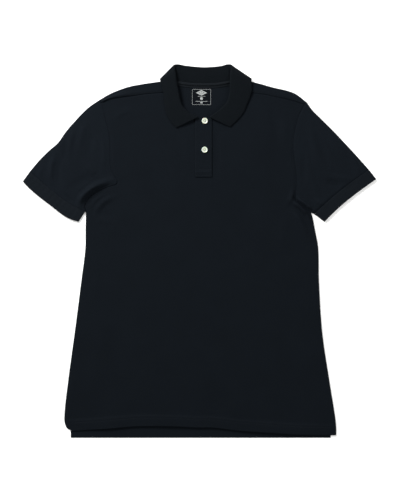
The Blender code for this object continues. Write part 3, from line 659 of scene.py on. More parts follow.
class Thread:
    """Collects stitches into one object."""

    def __init__(self, length, gap, radius):
        self.length = length
        self.gap = gap
        self.radius = radius
        self.points = []
        self.faces = []

    def add(self, start, end, up, radius=None):
        """One stitch between two points."""
        points, faces = capsule(np.array(start), np.array(end), np.array(up), radius or self.radius)
        base = len(self.points)
        self.points.extend(points)
        self.faces.extend([base + i for i in f] for f in faces)

    def row(self, line, tree):
        """A row of stitches along a plan line, lying on a surface."""
        line = np.asarray(line, dtype=float)[:, :2]
        whole = run_lengths(line)[-1]
        count = max(1, int(whole / (self.length + self.gap)))
        pitch = whole / count
        ends = []
        for k in range(count):
            ends.extend([(k + 0.5) * pitch - self.length / 2, (k + 0.5) * pitch + self.length / 2])
        placed = dropped(at_parts(line, np.array(ends) / whole), tree)
        for (a, up), (b, _) in zip(placed[::2], placed[1::2]):
            if np.linalg.norm(b - a) < self.length * 1.6:
                self.add(a, b, up)

    def finish(self, name, surface):
        """The stitches as one object."""
        return make_object(name, self.points, self.faces, surface, plan_uvs(self.points))


# ---- finishes ----


class Value:
    """A number in a node tree. Arithmetic on it adds nodes."""

    def __init__(self, tree, socket):
        self.tree = tree
        self.socket = socket

    def step(self, operation, other=0.0):
        """One arithmetic node; gives its result."""
        made = put(self.tree, "ShaderNodeMath", {0: self, 1: other}, operation=operation)
        return Value(self.tree, made.outputs[0])

    def __add__(self, other):
        return self.step("ADD", other)

    def __sub__(self, other):
        return self.step("SUBTRACT", other)

    def __mul__(self, other):
        return self.step("MULTIPLY", other)


def put(tree, kind, inputs, **settings):
    """Adds a shader node. An input is a constant, or the socket or the value that feeds it."""
    made = tree.nodes.new(kind)
    for key, value in settings.items():
        setattr(made, key, value)
    for key, value in inputs.items():
        value = getattr(value, "socket", value)
        if isinstance(value, bpy.types.NodeSocket):
            tree.links.new(value, made.inputs[key])
        else:
            made.inputs[key].default_value = value
    return made


def scaled(colour, share):
    """A darker or lighter share of a colour, with its alpha."""
    return (colour[0] * share, colour[1] * share, colour[2] * share, 1.0)


class Finish:
    """A new material, its node tree and the ways to dress its shader."""

    def __init__(self, name, roughness, **constants):
        self.made = bpy.data.materials.new(name)
        self.made.use_nodes = True
        self.tree = self.made.node_tree
        self.shader = self.tree.nodes["Principled BSDF"]
        self.shader.inputs["Roughness"].default_value = roughness
        for key, value in constants.items():
            self.shader.inputs[key.replace("_", " ")].default_value = value

    def value(self, kind, output, inputs, **settings):
        """Adds a node and gives one of its outputs."""
        return Value(self.tree, put(self.tree, kind, inputs, **settings).outputs[output])

    def cloth(self):
        """The cloth's own coordinates, in metres."""
        return self.value("ShaderNodeUVMap", "UV", {}, uv_map="cloth")

    def place(self, pitch_u, pitch_v, turn=0.0):
        """The cloth's own coordinates, counted in pitches of its knit."""
        turned = {"Vector": self.cloth(), "Angle": turn}
        turned = self.value("ShaderNodeVectorRotate", 0, turned, rotation_type="Z_AXIS")
        scale = (1 / pitch_u, 1 / pitch_v, 1.0)
        return self.value("ShaderNodeVectorMath", 0, {0: turned, 1: scale}, operation="MULTIPLY")

    def across_and_up(self, pitch_u, pitch_v):
        """The two coordinates of the cloth as numbers, counted in pitches of its knit."""
        place = self.place(pitch_u, pitch_v)
        return [self.value("ShaderNodeSeparateXYZ", axis, {0: place}) for axis in ("X", "Y")]

    def noise(self, size, detail):
        """Irregular patches of a given size in metres."""
        inputs = {"Vector": self.cloth(), "Scale": 1 / size, "Detail": detail}
        return self.value("ShaderNodeTexNoise", "Fac", inputs)

    def cells(self, pitch, randomness):
        """Cells on the bias, as the distance from each one's middle."""
        inputs = {"Vector": self.place(pitch, pitch, math.pi / 4), "Scale": 1.0, "Randomness": randomness}
        return self.value("ShaderNodeTexVoronoi", "Distance", inputs, voronoi_dimensions="2D")

    def tone(self, factor, colour, dark, light):
        """Colours the surface between two shares of a colour."""
        ramp = put(self.tree, "ShaderNodeValToRGB", {"Fac": factor})
        for stop, share in zip(ramp.color_ramp.elements, (dark, light)):
            stop.color = scaled(colour, share)
        self.tree.links.new(ramp.outputs["Color"], self.shader.inputs["Base Color"])

    def rough(self, value):
        """Roughens the surface by a value."""
        self.tree.links.new(value.socket, self.shader.inputs["Roughness"])

    def bump(self, height, strength, distance):
        """Raises the surface by a height. Gives the finished material."""
        inputs = {"Height": height, "Strength": strength, "Distance": distance}
        bump = put(self.tree, "ShaderNodeBump", inputs)
        self.tree.links.new(bump.outputs[0], self.shader.inputs["Normal"])
        return self.made


def knit_start(name, looks):
    """The start of a knitted cloth, with its nap."""
    return Finish(
        name,
        looks.nap_roughness,
        Specular_IOR_Level=looks.shine,
        Sheen_Weight=looks.nap,
        Sheen_Roughness=0.45,
        Sheen_Tint=looks.nap_colour[:],
    )


def pique_finish(name, looks, share=1.0):
    """Pique knit: small raised cells on the bias with pits between them, heathered yarn and a soft nap."""
    pique = knit_start(name, looks)
    cells = pique.cells(looks.pique_pitch, 0.14)
    fibre, patch, heather = pique.noise(0.00035, 3.0), pique.noise(0.055, 4.0), pique.noise(0.0021, 3.0)
    # Painted shade: the colour darkens towards the pits between the cells, where the bump sinks.
    tone = (heather * 0.8 + patch * 0.2) * 1.6 - cells * 0.45
    pique.tone(tone, looks.cloth, 0.62 * share, 1.45 * share)
    pique.rough(fibre * 0.16 + (looks.nap_roughness - 0.08))
    return pique.bump(cells * -1.0 + fibre * 0.35, 0.75, 0.00032)


def rib_finish(name, looks, pitch, colour, depth):
    """Rib knit: ribs across the strip with a chain of small stitches on each."""
    knit = knit_start(name, looks)
    across, up = knit.across_and_up(pitch, looks.stitch_rows)
    rib = (across * (2 * math.pi)).step("COSINE")
    lean = (across * math.pi).step("SINE").step("ABSOLUTE") * 0.9
    chain = ((up + lean) * (2 * math.pi)).step("SINE")
    fibre, heather = knit.noise(0.0004, 3.0), knit.noise(0.0025, 3.0)
    # Painted shade: the colour darkens between the ribs, where the bump sinks.
    knit.tone(rib * 0.22 + heather, colour, 0.6, 1.4)
    knit.rough(fibre * 0.16 + (looks.nap_roughness - 0.08))
    return knit.bump(rib * 0.5 + chain * 0.22 + fibre * 0.4, 0.8, depth)


def twill_finish(name, looks):
    """Herringbone tape: fine slanted ribs that turn at its middle."""
    twill = Finish(name, 0.8, Specular_IOR_Level=looks.shine * 1.5, Sheen_Weight=looks.nap)
    across, up = twill.across_and_up(0.0011, 0.0011)
    line = ((across + up.step("PINGPONG", 4.0)) * (2 * math.pi)).step("SINE")
    fibre = twill.noise(0.0005, 3.0)
    # Painted shade: the colour darkens between the slanted ribs, where the bump sinks.
    twill.tone(line * 0.25 + fibre, looks.tape, 0.6, 1.4)
    return twill.bump(line + fibre * 0.6, 0.7, 0.0002)


def thread_finish(name, looks, colour, shine):
    """Twisted sewing thread."""
    thread = Finish(name, 0.6, Specular_IOR_Level=shine, Sheen_Weight=looks.nap)
    twist = thread.noise(0.0003, 1.0)
    thread.tone(twist, colour, 0.7, 1.3)
    return thread.bump(twist, 0.5, 0.0001)


def print_finish(name, colour, roughness, shine):
    """Screen-print ink that lets a little of the knit through."""
    ink = Finish(name, roughness, Specular_IOR_Level=shine)
    knit = ink.cells(0.0012, 0.2)
    ink.tone(ink.noise(0.0016, 4.0) * 1.2 + knit * -0.3, colour, 0.72, 1.12)
    return ink.bump(knit, 0.35, 0.0001)


def button_finish(name, looks):
    """Polished resin with faint clouding, as pearl buttons have."""
    coat = {"Coat_Weight": 0.4, "Coat_Roughness": 0.08}
    resin = Finish(name, 0.22, Specular_IOR_Level=0.5, Subsurface_Weight=0.15, Subsurface_Scale=0.001, **coat)
    place = resin.value("ShaderNodeTexCoord", "Object", {})
    cloud = {"Vector": place, "Scale": 260.0, "Detail": 5.0, "Distortion": 1.6}
    cloud = resin.value("ShaderNodeTexNoise", "Fac", cloud)
    resin.tone(cloud, looks.button, 0.88, 1.04)
    resin.rough(cloud * 0.12 + 0.16)
    return resin.bump(cloud, 0.08, 0.0002)


def floor_finish(name, colour):
    """Matt studio paper that glows a little, as on a light table."""
    glow = {"Emission_Color": (1.0, 1.0, 0.995, 1.0), "Emission_Strength": 0.2}
    paper = Finish(name, 0.95, Specular_IOR_Level=0.05, **glow)
    place = paper.value("ShaderNodeTexCoord", "Object", {})
    grain = paper.value("ShaderNodeTexNoise", "Fac", {"Vector": place, "Scale": 8.0, "Detail": 3.0})
    paper.tone(grain, colour, 0.995, 1.0)
    return paper.made
def finish_named(name, make, *args):
    """A material that several pieces share, made the first time that it is asked for."""
    return bpy.data.materials.get(name) or make(name, *args)


# ---- settings ----


def number(name, description, default, **rest):
    """A number that can be set."""
    return bpy.props.FloatProperty(name=name, description=description, default=default, **rest)


def measure(name, description, default, **rest):
    """A length that can be set, in metres."""
    return number(name, description, default, unit="LENGTH", **rest)


def tint(name, description, *default):
    """A colour that can be set."""
    size = len(default)
    return bpy.props.FloatVectorProperty(
        name=name, description=description, default=default, size=size, subtype="COLOR"
    )


class PoloSizes(bpy.types.PropertyGroup):
    """Sizes of the cloth and of the sewing."""

    jersey: measure("Body cloth", "Thickness of the pique", 0.0012, min=0.0004, max=0.003)
    placket_cloth: measure("Placket cloth", "Thickness of the outer placket", 0.0015, max=0.003)
    rib: measure("Cuff cloth", "Thickness of the rib cuffs", 0.0016, max=0.003)
    rib_pitch: measure("Cuff rib", "Distance between the cuffs' ribs", 0.002, min=0.001)
    rib_depth: measure("Rib depth", "Height of the cuffs' ribs", 0.00032, max=0.0008)
    collar_knit: measure("Collar cloth", "Thickness of the collar", 0.0018, max=0.003)
    tape: measure("Neck tape", "Thickness of the neck tape", 0.0009, max=0.002)
    stitch_length: measure("Stitch", "Length of one stitch", 0.0026, min=0.001)
    stitch_gap: measure("Stitch gap", "Distance between stitches", 0.0007)
    thread: measure("Thread", "Radius of the sewing thread", 0.00024)
    button_radius: measure("Button radius", "Radius of the buttons", 0.0059)
    button_height: measure("Button height", "Thickness of the buttons", 0.0025)
    crease_share: number("Creases", "How deep the creases are, against the usual", 1.0, min=0.0, max=1.5)


class PoloLooks(bpy.types.PropertyGroup):
    """Colours and finishes."""

    cloth: tint("Body colour", "Colour of the pique", 0.0031, 0.0045, 0.0064)
    collar: tint("Collar colour", "Colour of the collar", 0.0031, 0.0044, 0.0058)
    cuff: tint("Cuff colour", "Colour of the cuffs", 0.0047, 0.0064, 0.0086)
    tape: tint("Tape colour", "Colour of the neck tape", 0.0060, 0.0080, 0.0105)
    thread: tint("Thread colour", "Colour of the seams' thread", 0.0055, 0.0075, 0.0105)
    film: tint("Print ground", "Colour of the neck print's ground", 0.0030, 0.0042, 0.0060)
    ink: tint("Print ink", "Colour of the neck print's lines", 0.34, 0.355, 0.355)
    button: tint("Button colour", "Colour of the buttons", 0.60, 0.645, 0.535)
    button_thread: tint("Button thread", "Thread that holds the buttons", 0.60, 0.61, 0.50)
    nap_colour: tint("Nap colour", "Tint of the cloth's nap", 0.55, 0.72, 1.0, 1.0)
    nap: number("Nap", "Strength of the soft sheen", 0.012, max=1.0)
    nap_roughness: number("Roughness", "Roughness of the cloth", 0.86, max=1.0)
    shine: number("Shine", "Strength of the cloth's reflections", 0.045, max=1.0)
    pique_pitch: measure("Pique cell", "Distance between the cells of the pique", 0.0012)
    collar_pitch: measure("Collar rib", "Distance between the collar's ribs", 0.0016)
    stitch_rows: measure("Knit row", "Distance between rows of knitting in the ribs", 0.0009)


class PoloStage(bpy.types.PropertyGroup):
    """The surface, the lights and the camera."""

    floor_size: measure("Surface", "Side of the surface", 40.0)
    floor_colour: tint("Surface colour", "Colour of the surface", 0.93, 0.93, 0.92)
    camera_height: measure("Camera height", "Height of the camera", 2.2)
    view_height: measure("View", "Height of the area in view", 1.0)
    fill: number("Fill", "Strength of the light from above", 0.46)
    key: number("Key", "Power of the main light", 62.0, unit="POWER")
# ---- operators ----


class PoloOperator:
    """What every step of the build shares."""

    bl_options = {"REGISTER", "UNDO"}

    def execute(self, context):
        scene = context.scene
        self.build(scene.polo_sizes, scene.polo_looks)
        return {"FINISHED"}


def front_rows(sizes):
    """The upper face of the front, row by row from hem to neck, and where each row crosses the centre."""
    steps = row_steps(FRONT_LEFT, FRONT_RIGHT)
    left, right = edge_points(FRONT_LEFT, steps), edge_points(FRONT_RIGHT, steps)
    mids = row_middles(FRONT_LEFT, steps)
    part = (mids - mids[0]) / (mids[-1] - mids[0])
    centre_z = CENTRE_HEIGHT + CENTRE_RISE * fade(part * 6)
    halves = []
    for edge, hem, shoulder, neck, x in (
        (left, FRONT_HEM_LEFT, SHOULDER_SEAM_LEFT, NECKLINE_LEFT, PLACKET_LEFT),
        (right, FRONT_HEM_RIGHT, SHOULDER_SEAM_RIGHT, NECKLINE_RIGHT, PLACKET_RIGHT),
    ):
        bottom = lifted(along(hem, half_columns()), HEM_HEIGHT)
        top = lifted(np.concatenate([along(shoulder, shoulder_parts()), neck_edge(neck)]), NECK_HEIGHT)
        halves.append(panel_half(edge, bottom, top, x, mids, centre_z))
    width = PLACKET_RIGHT - PLACKET_LEFT
    inner = np.linspace(SLOT_MARGIN, width - SLOT_MARGIN, SLOT_COLUMNS + 1) / width
    columns = np.concatenate([[SLOT_MARGIN / width / 2], inner, [1 - SLOT_MARGIN / width / 2]])
    rows = panel_sheet(halves, columns)
    x, y = rows[..., 0], rows[..., 1]
    up = y - y[:1]
    inside, free = panel_freedom(rows, mids, FRONT_MARGINS)
    rows[..., 2] += free * (CLOTH_LOFT + sizes.crease_share * relief(BODY_CREASES, x, y) + crumple(x, y, 3.0))
    rows[..., 2] -= SIDE_DIP * (1 - fade(inside / SIDE_DIP_REACH))
    wave = 0.8 + 0.5 * ripple(x, y, 90, 8.0)
    rows[..., 2] += HEM_LIFT * fade((inside - 20) / 60) * (1 - fade(up / 30)) * wave
    fold = HEM_FOLD * fade((HEM_DEPTH + 1 - up) / 2)
    grooves = sum(bell(up, row, 1.1) for row in HEM_ROWS)
    rows[..., 2] += fade(inside / 5) * (fold - STITCH_GROOVE * grooves)
    return rows, mids
def front_slot(mids, columns):
    """Mask of the front's cells without the opening under the placket."""
    first = len(half_columns()) + 1
    kept = np.ones((len(mids) - 1, columns - 1), dtype=bool)
    kept[np.ix_(mids[:-1] >= SLOT_BOTTOM - 0.01, range(first, first + SLOT_COLUMNS))] = False
    return kept


class POLO_OT_front(PoloOperator, bpy.types.Operator):
    """Front panel of pique, open under the placket"""

    bl_idname = "polo.front"
    bl_label = "Front panel"

    def build(self, sizes, looks):
        rows, mids = front_rows(sizes)
        faces = grid_faces(*rows.shape[:2], front_slot(mids, rows.shape[1]))
        pique = finish_named("navy_pique", pique_finish, looks)
        piece = laid_cloth("front_cloth", rows, sizes.jersey / MM, pique, faces)
        dress(piece, "body_cloth", "front_panel")


def back_rows(sizes):
    """The underside of the back and its shoulder folds."""
    sides = []
    for own, front in ((BACK_LEFT, FRONT_LEFT), (BACK_RIGHT, FRONT_RIGHT)):
        sides.append(own + tuple(Side(s.x, s.y, 0, s.mid) for s in front[CREASE_START:]))
    steps = row_steps(*sides)
    left, right = (edge_points(side, steps, 0) for side in sides)
    mids = row_middles(sides[0], steps)
    mids = mids + (NECK_BACK - NECK_FRONT) * fade((mids - SLOT_BOTTOM) / (NECK_FRONT - SLOT_BOTTOM))
    halves, folds = [], []
    for edge, hem, fold, seam, neck, x in (
        (left, BACK_HEM_LEFT, SHOULDER_FOLD_LEFT, SHOULDER_SEAM_LEFT, BACK_NECK_LEFT, PLACKET_LEFT),
        (right, BACK_HEM_RIGHT, SHOULDER_FOLD_RIGHT, SHOULDER_SEAM_RIGHT, BACK_NECK_RIGHT, PLACKET_RIGHT),
    ):
        outline, sewn = along(fold, shoulder_parts()), along(seam, shoulder_parts())
        way = (sewn - outline) / np.linalg.norm(sewn - outline, axis=1)[:, None]
        folds.append((outline, way, sewn))
        top = lifted(np.concatenate([outline + way * FOLD_RADIUS, neck_edge(neck)]), 0)
        edge[-1] = top[0]
        halves.append(panel_half(edge, lifted(along(hem, half_columns()), 0), top, x, mids, 0.0))
    rows = panel_sheet(halves, np.linspace(0, 1, 11)[1:-1])
    x, y = rows[..., 0], rows[..., 1]
    _, free = panel_freedom(rows, mids, BACK_MARGINS)
    rows[..., 2] += free * sizes.crease_share * relief(BACK_CREASES, x, y)
    return rows, folds


def shoulder_flap(outline, way, sewn, loft):
    """Rows of the back's upper edge, from the fold over the shoulder to its seam on the front."""
    flap = []
    for turn in np.radians(np.arange(20, 181, 20)):
        plan = outline + way * FOLD_RADIUS * (1 - math.sin(turn))
        flap.append(lifted(plan, FOLD_RADIUS * (1 - math.cos(turn))))
    ends = np.linspace(0, 1, len(outline))
    reach = np.linalg.norm(sewn - outline, axis=1)[:, None] - FOLD_RADIUS - SEAM_GAP / 2
    swell = 0.7 + loft * fade(ends / 0.06) * (1 - fade((ends - 0.3) / 0.35))
    for part in np.linspace(0, 1, 9)[1:]:
        plan = outline + way * (FOLD_RADIUS + reach * part)
        dip = 0.55 * fade((part - 0.8) / 0.2)
        wave = 0.35 * ripple(plan[:, 0], plan[:, 1], 30, 5.0) * math.sin(math.pi * part)
        z = 2 * FOLD_RADIUS + swell * np.sin(math.pi * part**1.7) - dip + wave
        flap.append(np.column_stack([plan, z]))
    return flap
class POLO_OT_back(PoloOperator, bpy.types.Operator):
    """Back panel of pique, carried over the shoulders to the front's shoulder seams"""

    bl_idname = "polo.back"
    bl_label = "Back panel"

    def build(self, sizes, looks):
        rows, folds = back_rows(sizes)
        high, wide = rows.shape[:2]
        blocks = [rows.reshape(-1, 3)]
        faces = [grid_faces(high, wide)[:, ::-1]]
        uvs = [plan_uvs(blocks[0])]
        start, count = high * wide, len(shoulder_parts())
        for side, fold in enumerate(folds):
            previous = (high - 1) * wide + (np.arange(count) if side == 0 else wide - 1 - np.arange(count))
            for row in shoulder_flap(*fold, SHOULDER_LOFT[side]):
                current = start + np.arange(count)
                start += count
                blocks.append(row)
                uvs.append(plan_uvs(row) * (1, -1))
                strip = np.stack([previous[:-1], previous[1:], current[1:], current[:-1]], axis=1)
                faces.append(strip[:, ::-1] if side == 0 else strip)
                previous = current
        outer, faces = np.concatenate(blocks), np.concatenate(faces)
        inner = outer - point_normals(outer, faces) * sizes.jersey / MM
        pique = finish_named("navy_pique", pique_finish, looks)
        piece = shell("back_cloth", outer, inner, faces, pique, np.concatenate(uvs))
        dress(piece, "body_cloth", "back_panel")


class POLO_OT_placket(PoloOperator, bpy.types.Operator):
    """Outer placket with its stitched box, and the under placket in the opening"""

    bl_idname = "polo.placket"
    bl_label = "Placket"

    def build(self, sizes, looks):
        rows, mids = front_rows(sizes)
        first = len(half_columns()) - 1
        last = rows.shape[1] - len(half_columns())
        pique = finish_named("navy_pique", pique_finish, looks)

        sheet = rows[mids >= PLACKET_BOTTOM - 0.01, first : last + 1]
        heights = spread((PLACKET_BOTTOM, PLACKET_BOX_TOP, 19), (PLACKET_BOX_TOP, NECK_FRONT, 50))
        outer = np.stack([at_heights(sheet[:, k], heights) for k in range(sheet.shape[1])], axis=1)
        x, y = outer[..., 0], outer[..., 1]
        in_edge = np.minimum(x - PLACKET_LEFT, PLACKET_RIGHT - x)
        outer[..., 2] = np.maximum(outer[..., 2], 4.4) + SEAM_GAP + sizes.placket_cloth / MM
        outer[..., 2] -= 0.3 * (1 - fade(in_edge / 1.6))
        outer[..., 2] += 0.75 * bell(y, PLACKET_BOX_MIDDLE, 2.4) * fade(in_edge / 4)
        outer[..., 2] -= 0.3 * sum(bell(y, row, 1.2) for row in PLACKET_ROWS)
        outer[..., 2] += 0.12 * ripple(x, y, 14, 9.0) * fade((y - PLACKET_BOX_TOP) / 8)
        piece = laid_cloth("placket_outer_cloth", outer, sizes.placket_cloth / MM, pique, uv_shift=0.0007)
        dress(piece, "body_cloth", "placket_outer")

        under = rows[mids >= SLOT_BOTTOM - 0.01, first + 2 : last - 1].copy()
        under[:, 0, 0] += SEAM_GAP
        under[:, -1, 0] -= SEAM_GAP
        under[0, :, 1] += SEAM_GAP
        piece = laid_cloth("placket_under_cloth", under, sizes.jersey / MM, pique)
        dress(piece, "body_cloth", "placket_under")
def at_heights(line, heights):
    """Points of a line where it passes the given distances up the shirt."""
    x, z = (np.interp(heights, line[:, 1], line[:, k]) for k in (0, 2))
    return np.column_stack([x, heights, z])


def tube_loops(plan, height, thickness, us, share, seed, rib=None):
    """Loops of points round a tube pressed flat, outside and inside. Each row of its plan runs from the lower
    fold to the upper one; us says how far along the tube each row is."""
    radius = height / 2
    turns = np.radians(np.linspace(0, 180, TURN_STEPS + 2)[1:-1])
    low = plan[:, 1] - plan[:, 0]
    low /= np.linalg.norm(low, axis=1)[:, None]
    high = plan[:, -1] - plan[:, -2]
    high /= np.linalg.norm(high, axis=1)[:, None]
    level = plan.copy()
    level[:, 0] += low * radius
    level[:, -1] -= high * radius
    whole, left = (np.linalg.norm(rows[:, -1] - rows[:, 0], axis=1) for rows in (plan, level))
    level[:, 1:-1] = level[:, :1] + (plan[:, 1:-1] - plan[:, :1]) * (left / whole)[:, None, None]
    x, y = level[..., 0], level[..., 1]
    across = run_across(level)
    inside = np.minimum(across, across[:, -1:] - across)
    free = fade(inside / 3.4)
    reach = np.minimum(1, 0.2 + 4 * np.asarray(us))[:, None]
    lift = free * reach * (CLOTH_LOFT + share * relief(SLEEVE_CREASES, x, y) + 0.8 * crumple(x, y, seed))
    ribs = np.zeros_like(x) if rib is None else rib[1] * (np.cos(across * 2 * math.pi / rib[0]) - 1) / 2
    top_z = height + np.maximum(lift, thickness - height + 1.6) + ribs
    sheets = []
    for r, bottom, rise in ((radius, 0.0, 0.0), (radius - thickness, thickness, -thickness)):
        wave = ribs if r == radius else 0 * ribs
        under, over = np.dstack([level, bottom - wave]), np.dstack([level, top_z + rise])[:, ::-1]
        up = fold_round(level[:, -1], high, radius, r, turns)
        down = fold_round(level[:, 0], -low, radius, r, turns[::-1])
        sheets.append(np.concatenate([under, up, over, down], axis=1))
    return sheets


def fold_round(base, out, radius, r, turns):
    """Points on the round of a fold, turned up from its lowest line."""
    plan = base[:, None] + out[:, None] * (r * np.sin(turns))[None, :, None]
    z = np.broadcast_to(radius - r * np.cos(turns), plan.shape[:2])
    return np.dstack([plan, z])


def sleeve_plan(side, fold, cuff_seam, outward, columns, rows):
    """Plan of a sleeve from the armhole to the cuff seam, spanned between its two folds."""
    steps = row_steps(FRONT_LEFT, FRONT_RIGHT)
    edge = edge_points(side, steps, 0)[:, :2]
    start, end = sum(steps[:CREASE_START]), sum(steps[:CREASE_END])
    clear = shifted(edge, outward * ARMHOLE_GAP)
    crease = at_parts(clear[start : end + 1][::-1], rows)
    armhole = at_parts(clear[end:], columns)
    upper = along(fold, rows)
    cuff_line = along(cuff_seam, columns)
    upper[-1] = cuff_line[-1]
    crease[-1] = cuff_line[0]
    armhole[0], armhole[-1] = crease[0], upper[0]
    return coons(armhole, cuff_line, crease, upper, columns, rows)


def loop_uvs(loops):
    """Cloth coordinates in metres: round the tube, and along it."""
    u = run_across(loops)
    v = run_across(loops.swapaxes(0, 1)).T
    return np.dstack([u - u[:, -1:] / 2, v]).reshape(-1, 2) * MM


def lower_top(loops, columns, dip):
    """Sinks the upper face of a tube row by row, in its outside and its inside loops."""
    first = len(columns) + TURN_STEPS
    for sheet in loops:
        sheet[:, first : first + len(columns), 2] -= dip[:, None]
def make_tube(name, loops, outward, surface):
    """A piece from the outside and inside loops of a tube."""
    outsides, insides = loops
    faces = ring_faces(*outsides.shape[:2])
    if outward > 0:
        faces = faces[:, ::-1]
    return shell(name, outsides.reshape(-1, 3), insides.reshape(-1, 3), faces, surface, loop_uvs(outsides))


# Painted sheen: the sleeves get a copy of the body's pique painted this much lighter, standing in for the
# brighter sheen on the sleeves.
SLEEVE_PAINTED_SHEEN = 1.12
SLEEVES = {
    "left": (FRONT_LEFT, SLEEVE_FOLD_LEFT, CUFF_SEAM_LEFT, CUFF_HEM_LEFT, 1),
    "right": (FRONT_RIGHT, SLEEVE_FOLD_RIGHT, CUFF_SEAM_RIGHT, CUFF_HEM_RIGHT, -1),
}


class POLO_OT_sleeves(PoloOperator, bpy.types.Operator):
    """Two sleeves of pique, pressed flat"""

    bl_idname = "polo.sleeves"
    bl_label = "Sleeves"

    def build(self, sizes, looks):
        pique = finish_named("sleeve_pique", pique_finish, looks, SLEEVE_PAINTED_SHEEN)
        thick, depth = sizes.jersey / MM, sizes.crease_share
        columns = spread((0, 0.1, 13), (0.1, 0.95, 52), (0.95, 1, 7))
        rows = spread((0, 0.03, 5), (0.03, 0.97, SLEEVE_ROWS), (0.97, 1, 5))
        for name, (side, fold, cuff_seam, _, outward) in SLEEVES.items():
            plan = sleeve_plan(side, fold, cuff_seam, outward, columns, rows)
            loops = tube_loops(plan, SLEEVE_HEIGHT, thick, rows, depth, 20.0 + outward)
            lower_top(loops, columns, SEAM_DIP * (1 - fade(rows / 0.022) + 1 - fade((1 - rows) / 0.02)))
            piece = make_tube("sleeve_" + name + "_cloth", loops, outward, pique)
            dress(piece, "body_cloth", "sleeve_" + name)


class POLO_OT_cuffs(PoloOperator, bpy.types.Operator):
    """Two rib-knit cuffs"""

    bl_idname = "polo.cuffs"
    bl_label = "Cuffs"

    def build(self, sizes, looks):
        knit = finish_named("cuff_knit", rib_finish, looks, sizes.rib_pitch, looks.cuff, 0.00015)
        thick, depth = sizes.rib / MM, sizes.crease_share * 0.6
        ribs = (sizes.rib_pitch / MM, sizes.rib_depth / MM)
        for name, (_, _, cuff_seam, cuff_hem, outward) in SLEEVES.items():
            width = run_lengths(smooth(cuff_hem, [24, 24]))[-1]
            columns = np.linspace(0, 1, round(width / ribs[0] * RIB_SAMPLES))
            seam, hem = along(cuff_seam, columns), along(cuff_hem, columns)
            inward = seam - hem
            seam -= inward / np.linalg.norm(inward, axis=1)[:, None] * CUFF_GAP
            parts = np.linspace(0, 1, CUFF_ROWS)
            plan = seam + (hem - seam) * parts[:, None, None]
            loops = tube_loops(plan, CUFF_HEIGHT, thick, np.ones(CUFF_ROWS), depth, 31.0 + outward, ribs)
            dip = SEAM_DIP * (1 - fade(parts / 0.12)) + CUFF_EDGE_DIP * (1 - fade((1 - parts) / 0.08))
            lower_top(loops, columns, dip)
            piece = make_tube("cuff_" + name + "_cloth", loops, outward, knit)
            dress(piece, "rib_knit", "cuff_" + name)


def collar_section(row, roll_way):
    """Points across the collar: up the stand, round the roll and down the leaf."""
    seam = np.array([row.seam_x, row.seam_y, row.seam_z])
    roll = np.array([row.roll_x, row.roll_y, row.roll_z])
    edge = np.array([row.edge_x, row.edge_y, row.edge_z])
    out = np.array([row.roll_x - NECK_MIDDLE[0], row.roll_y - NECK_MIDDLE[1], 0])
    out /= np.linalg.norm(out)
    lean = math.radians(row.lean)
    leaf_side = out * math.cos(lean) + np.array([0, 0, math.sin(lean)])
    leaf_side = leaf_side - roll_way * roll_way.dot(leaf_side)
    leaf_side /= np.linalg.norm(leaf_side)
    rise = np.cross(roll_way, leaf_side)
    leaf_bulge = LEAF_BULGE * (1 + math.sin(lean)) / 2
    stand_bulge = STAND_BULGE * (1 - math.sin(lean)) / 2
    centre = roll - rise * row.round
    foot, shoulder = centre - leaf_side * row.round, centre + leaf_side * row.round
    t = (np.arange(STAND_STEPS) / STAND_STEPS)[:, None]
    stand = seam + (foot - seam) * t - leaf_side * stand_bulge * np.sin(math.pi * t)
    a = (math.pi * np.arange(ROLL_STEPS + 1) / ROLL_STEPS)[:, None]
    turn = centre - leaf_side * row.round * np.cos(a) + rise * row.round * np.sin(a)
    t = (np.arange(1, LEAF_STEPS + 1) / LEAF_STEPS)[:, None]
    leaf = shoulder + (edge - shoulder) * t + leaf_side * leaf_bulge * np.sin(math.pi * t)
    return np.concatenate([stand, turn, leaf])


class POLO_OT_collar(PoloOperator, bpy.types.Operator):
    """Flat-knitted collar, stand and leaf in one piece"""

    bl_idname = "polo.collar"
    bl_label = "Collar"

    def build(self, sizes, looks):
        sections = [Section(*row) for row in smooth(COLLAR, [COLLAR_STEPS] * (len(COLLAR) - 1))]
        rolls = np.array([(s.roll_x, s.roll_y, s.roll_z) for s in sections])
        rows = np.array([collar_section(s, way) for s, way in zip(sections, headings(rolls))])
        faces = grid_faces(*rows.shape[:2])
        points = rows.reshape(-1, 3)
        normals = point_normals(points, faces)
        across = run_across(rows)
        from_edge = (across[:, -1:] - across).ravel()
        length = run_lengths(rows[:, STAND_STEPS + ROLL_STEPS // 2 + 6])
        u = np.broadcast_to(length[:, None], across.shape)
        uvs = np.dstack([u, across]).reshape(-1, 2) * MM
        half = sizes.collar_knit / MM / 2
        ridges = sum(rise * bell(from_edge, place, width) for place, width, rise in COLLAR_RIDGES)
        thin = half * (1 - 0.3 * (1 - fade(from_edge / 1.6)))
        outer = points + normals * (thin + ridges)[:, None]
        inner = points - normals * (thin + 0.5 * ridges)[:, None]
        knit = finish_named("collar_knit", rib_finish, looks, looks.collar_pitch, looks.collar, 0.00028)
        piece = shell("collar_cloth", outer, inner, faces, knit, uvs)
        dress(piece, "rib_knit", "collar")


class POLO_OT_neck_tape(PoloOperator, bpy.types.Operator):
    """Herringbone tape over the back neck seam"""

    bl_idname = "polo.neck_tape"
    bl_label = "Neck tape"

    def build(self, sizes, looks):
        line = smooth(TAPE_LINE, [16] * (len(TAPE_LINE) - 1))
        profile = smooth(TAPE_PROFILE, [3, 4, 4])
        rows = np.array([lifted(shifted(line, out), z) for out, z in profile])
        run = run_lengths(line)
        reach = run_lengths(profile)
        uvs = np.dstack(np.meshgrid(run, reach)).reshape(-1, 2) * MM
        points = rows.reshape(-1, 3)
        faces = grid_faces(*rows.shape[:2])
        inner = points - point_normals(points, faces) * sizes.tape / MM
        twill = finish_named("neck_twill", twill_finish, looks)
        piece = shell("neck_tape_cloth", points, inner, faces, twill, uvs)
        dress(piece, "tape", "neck_tape")


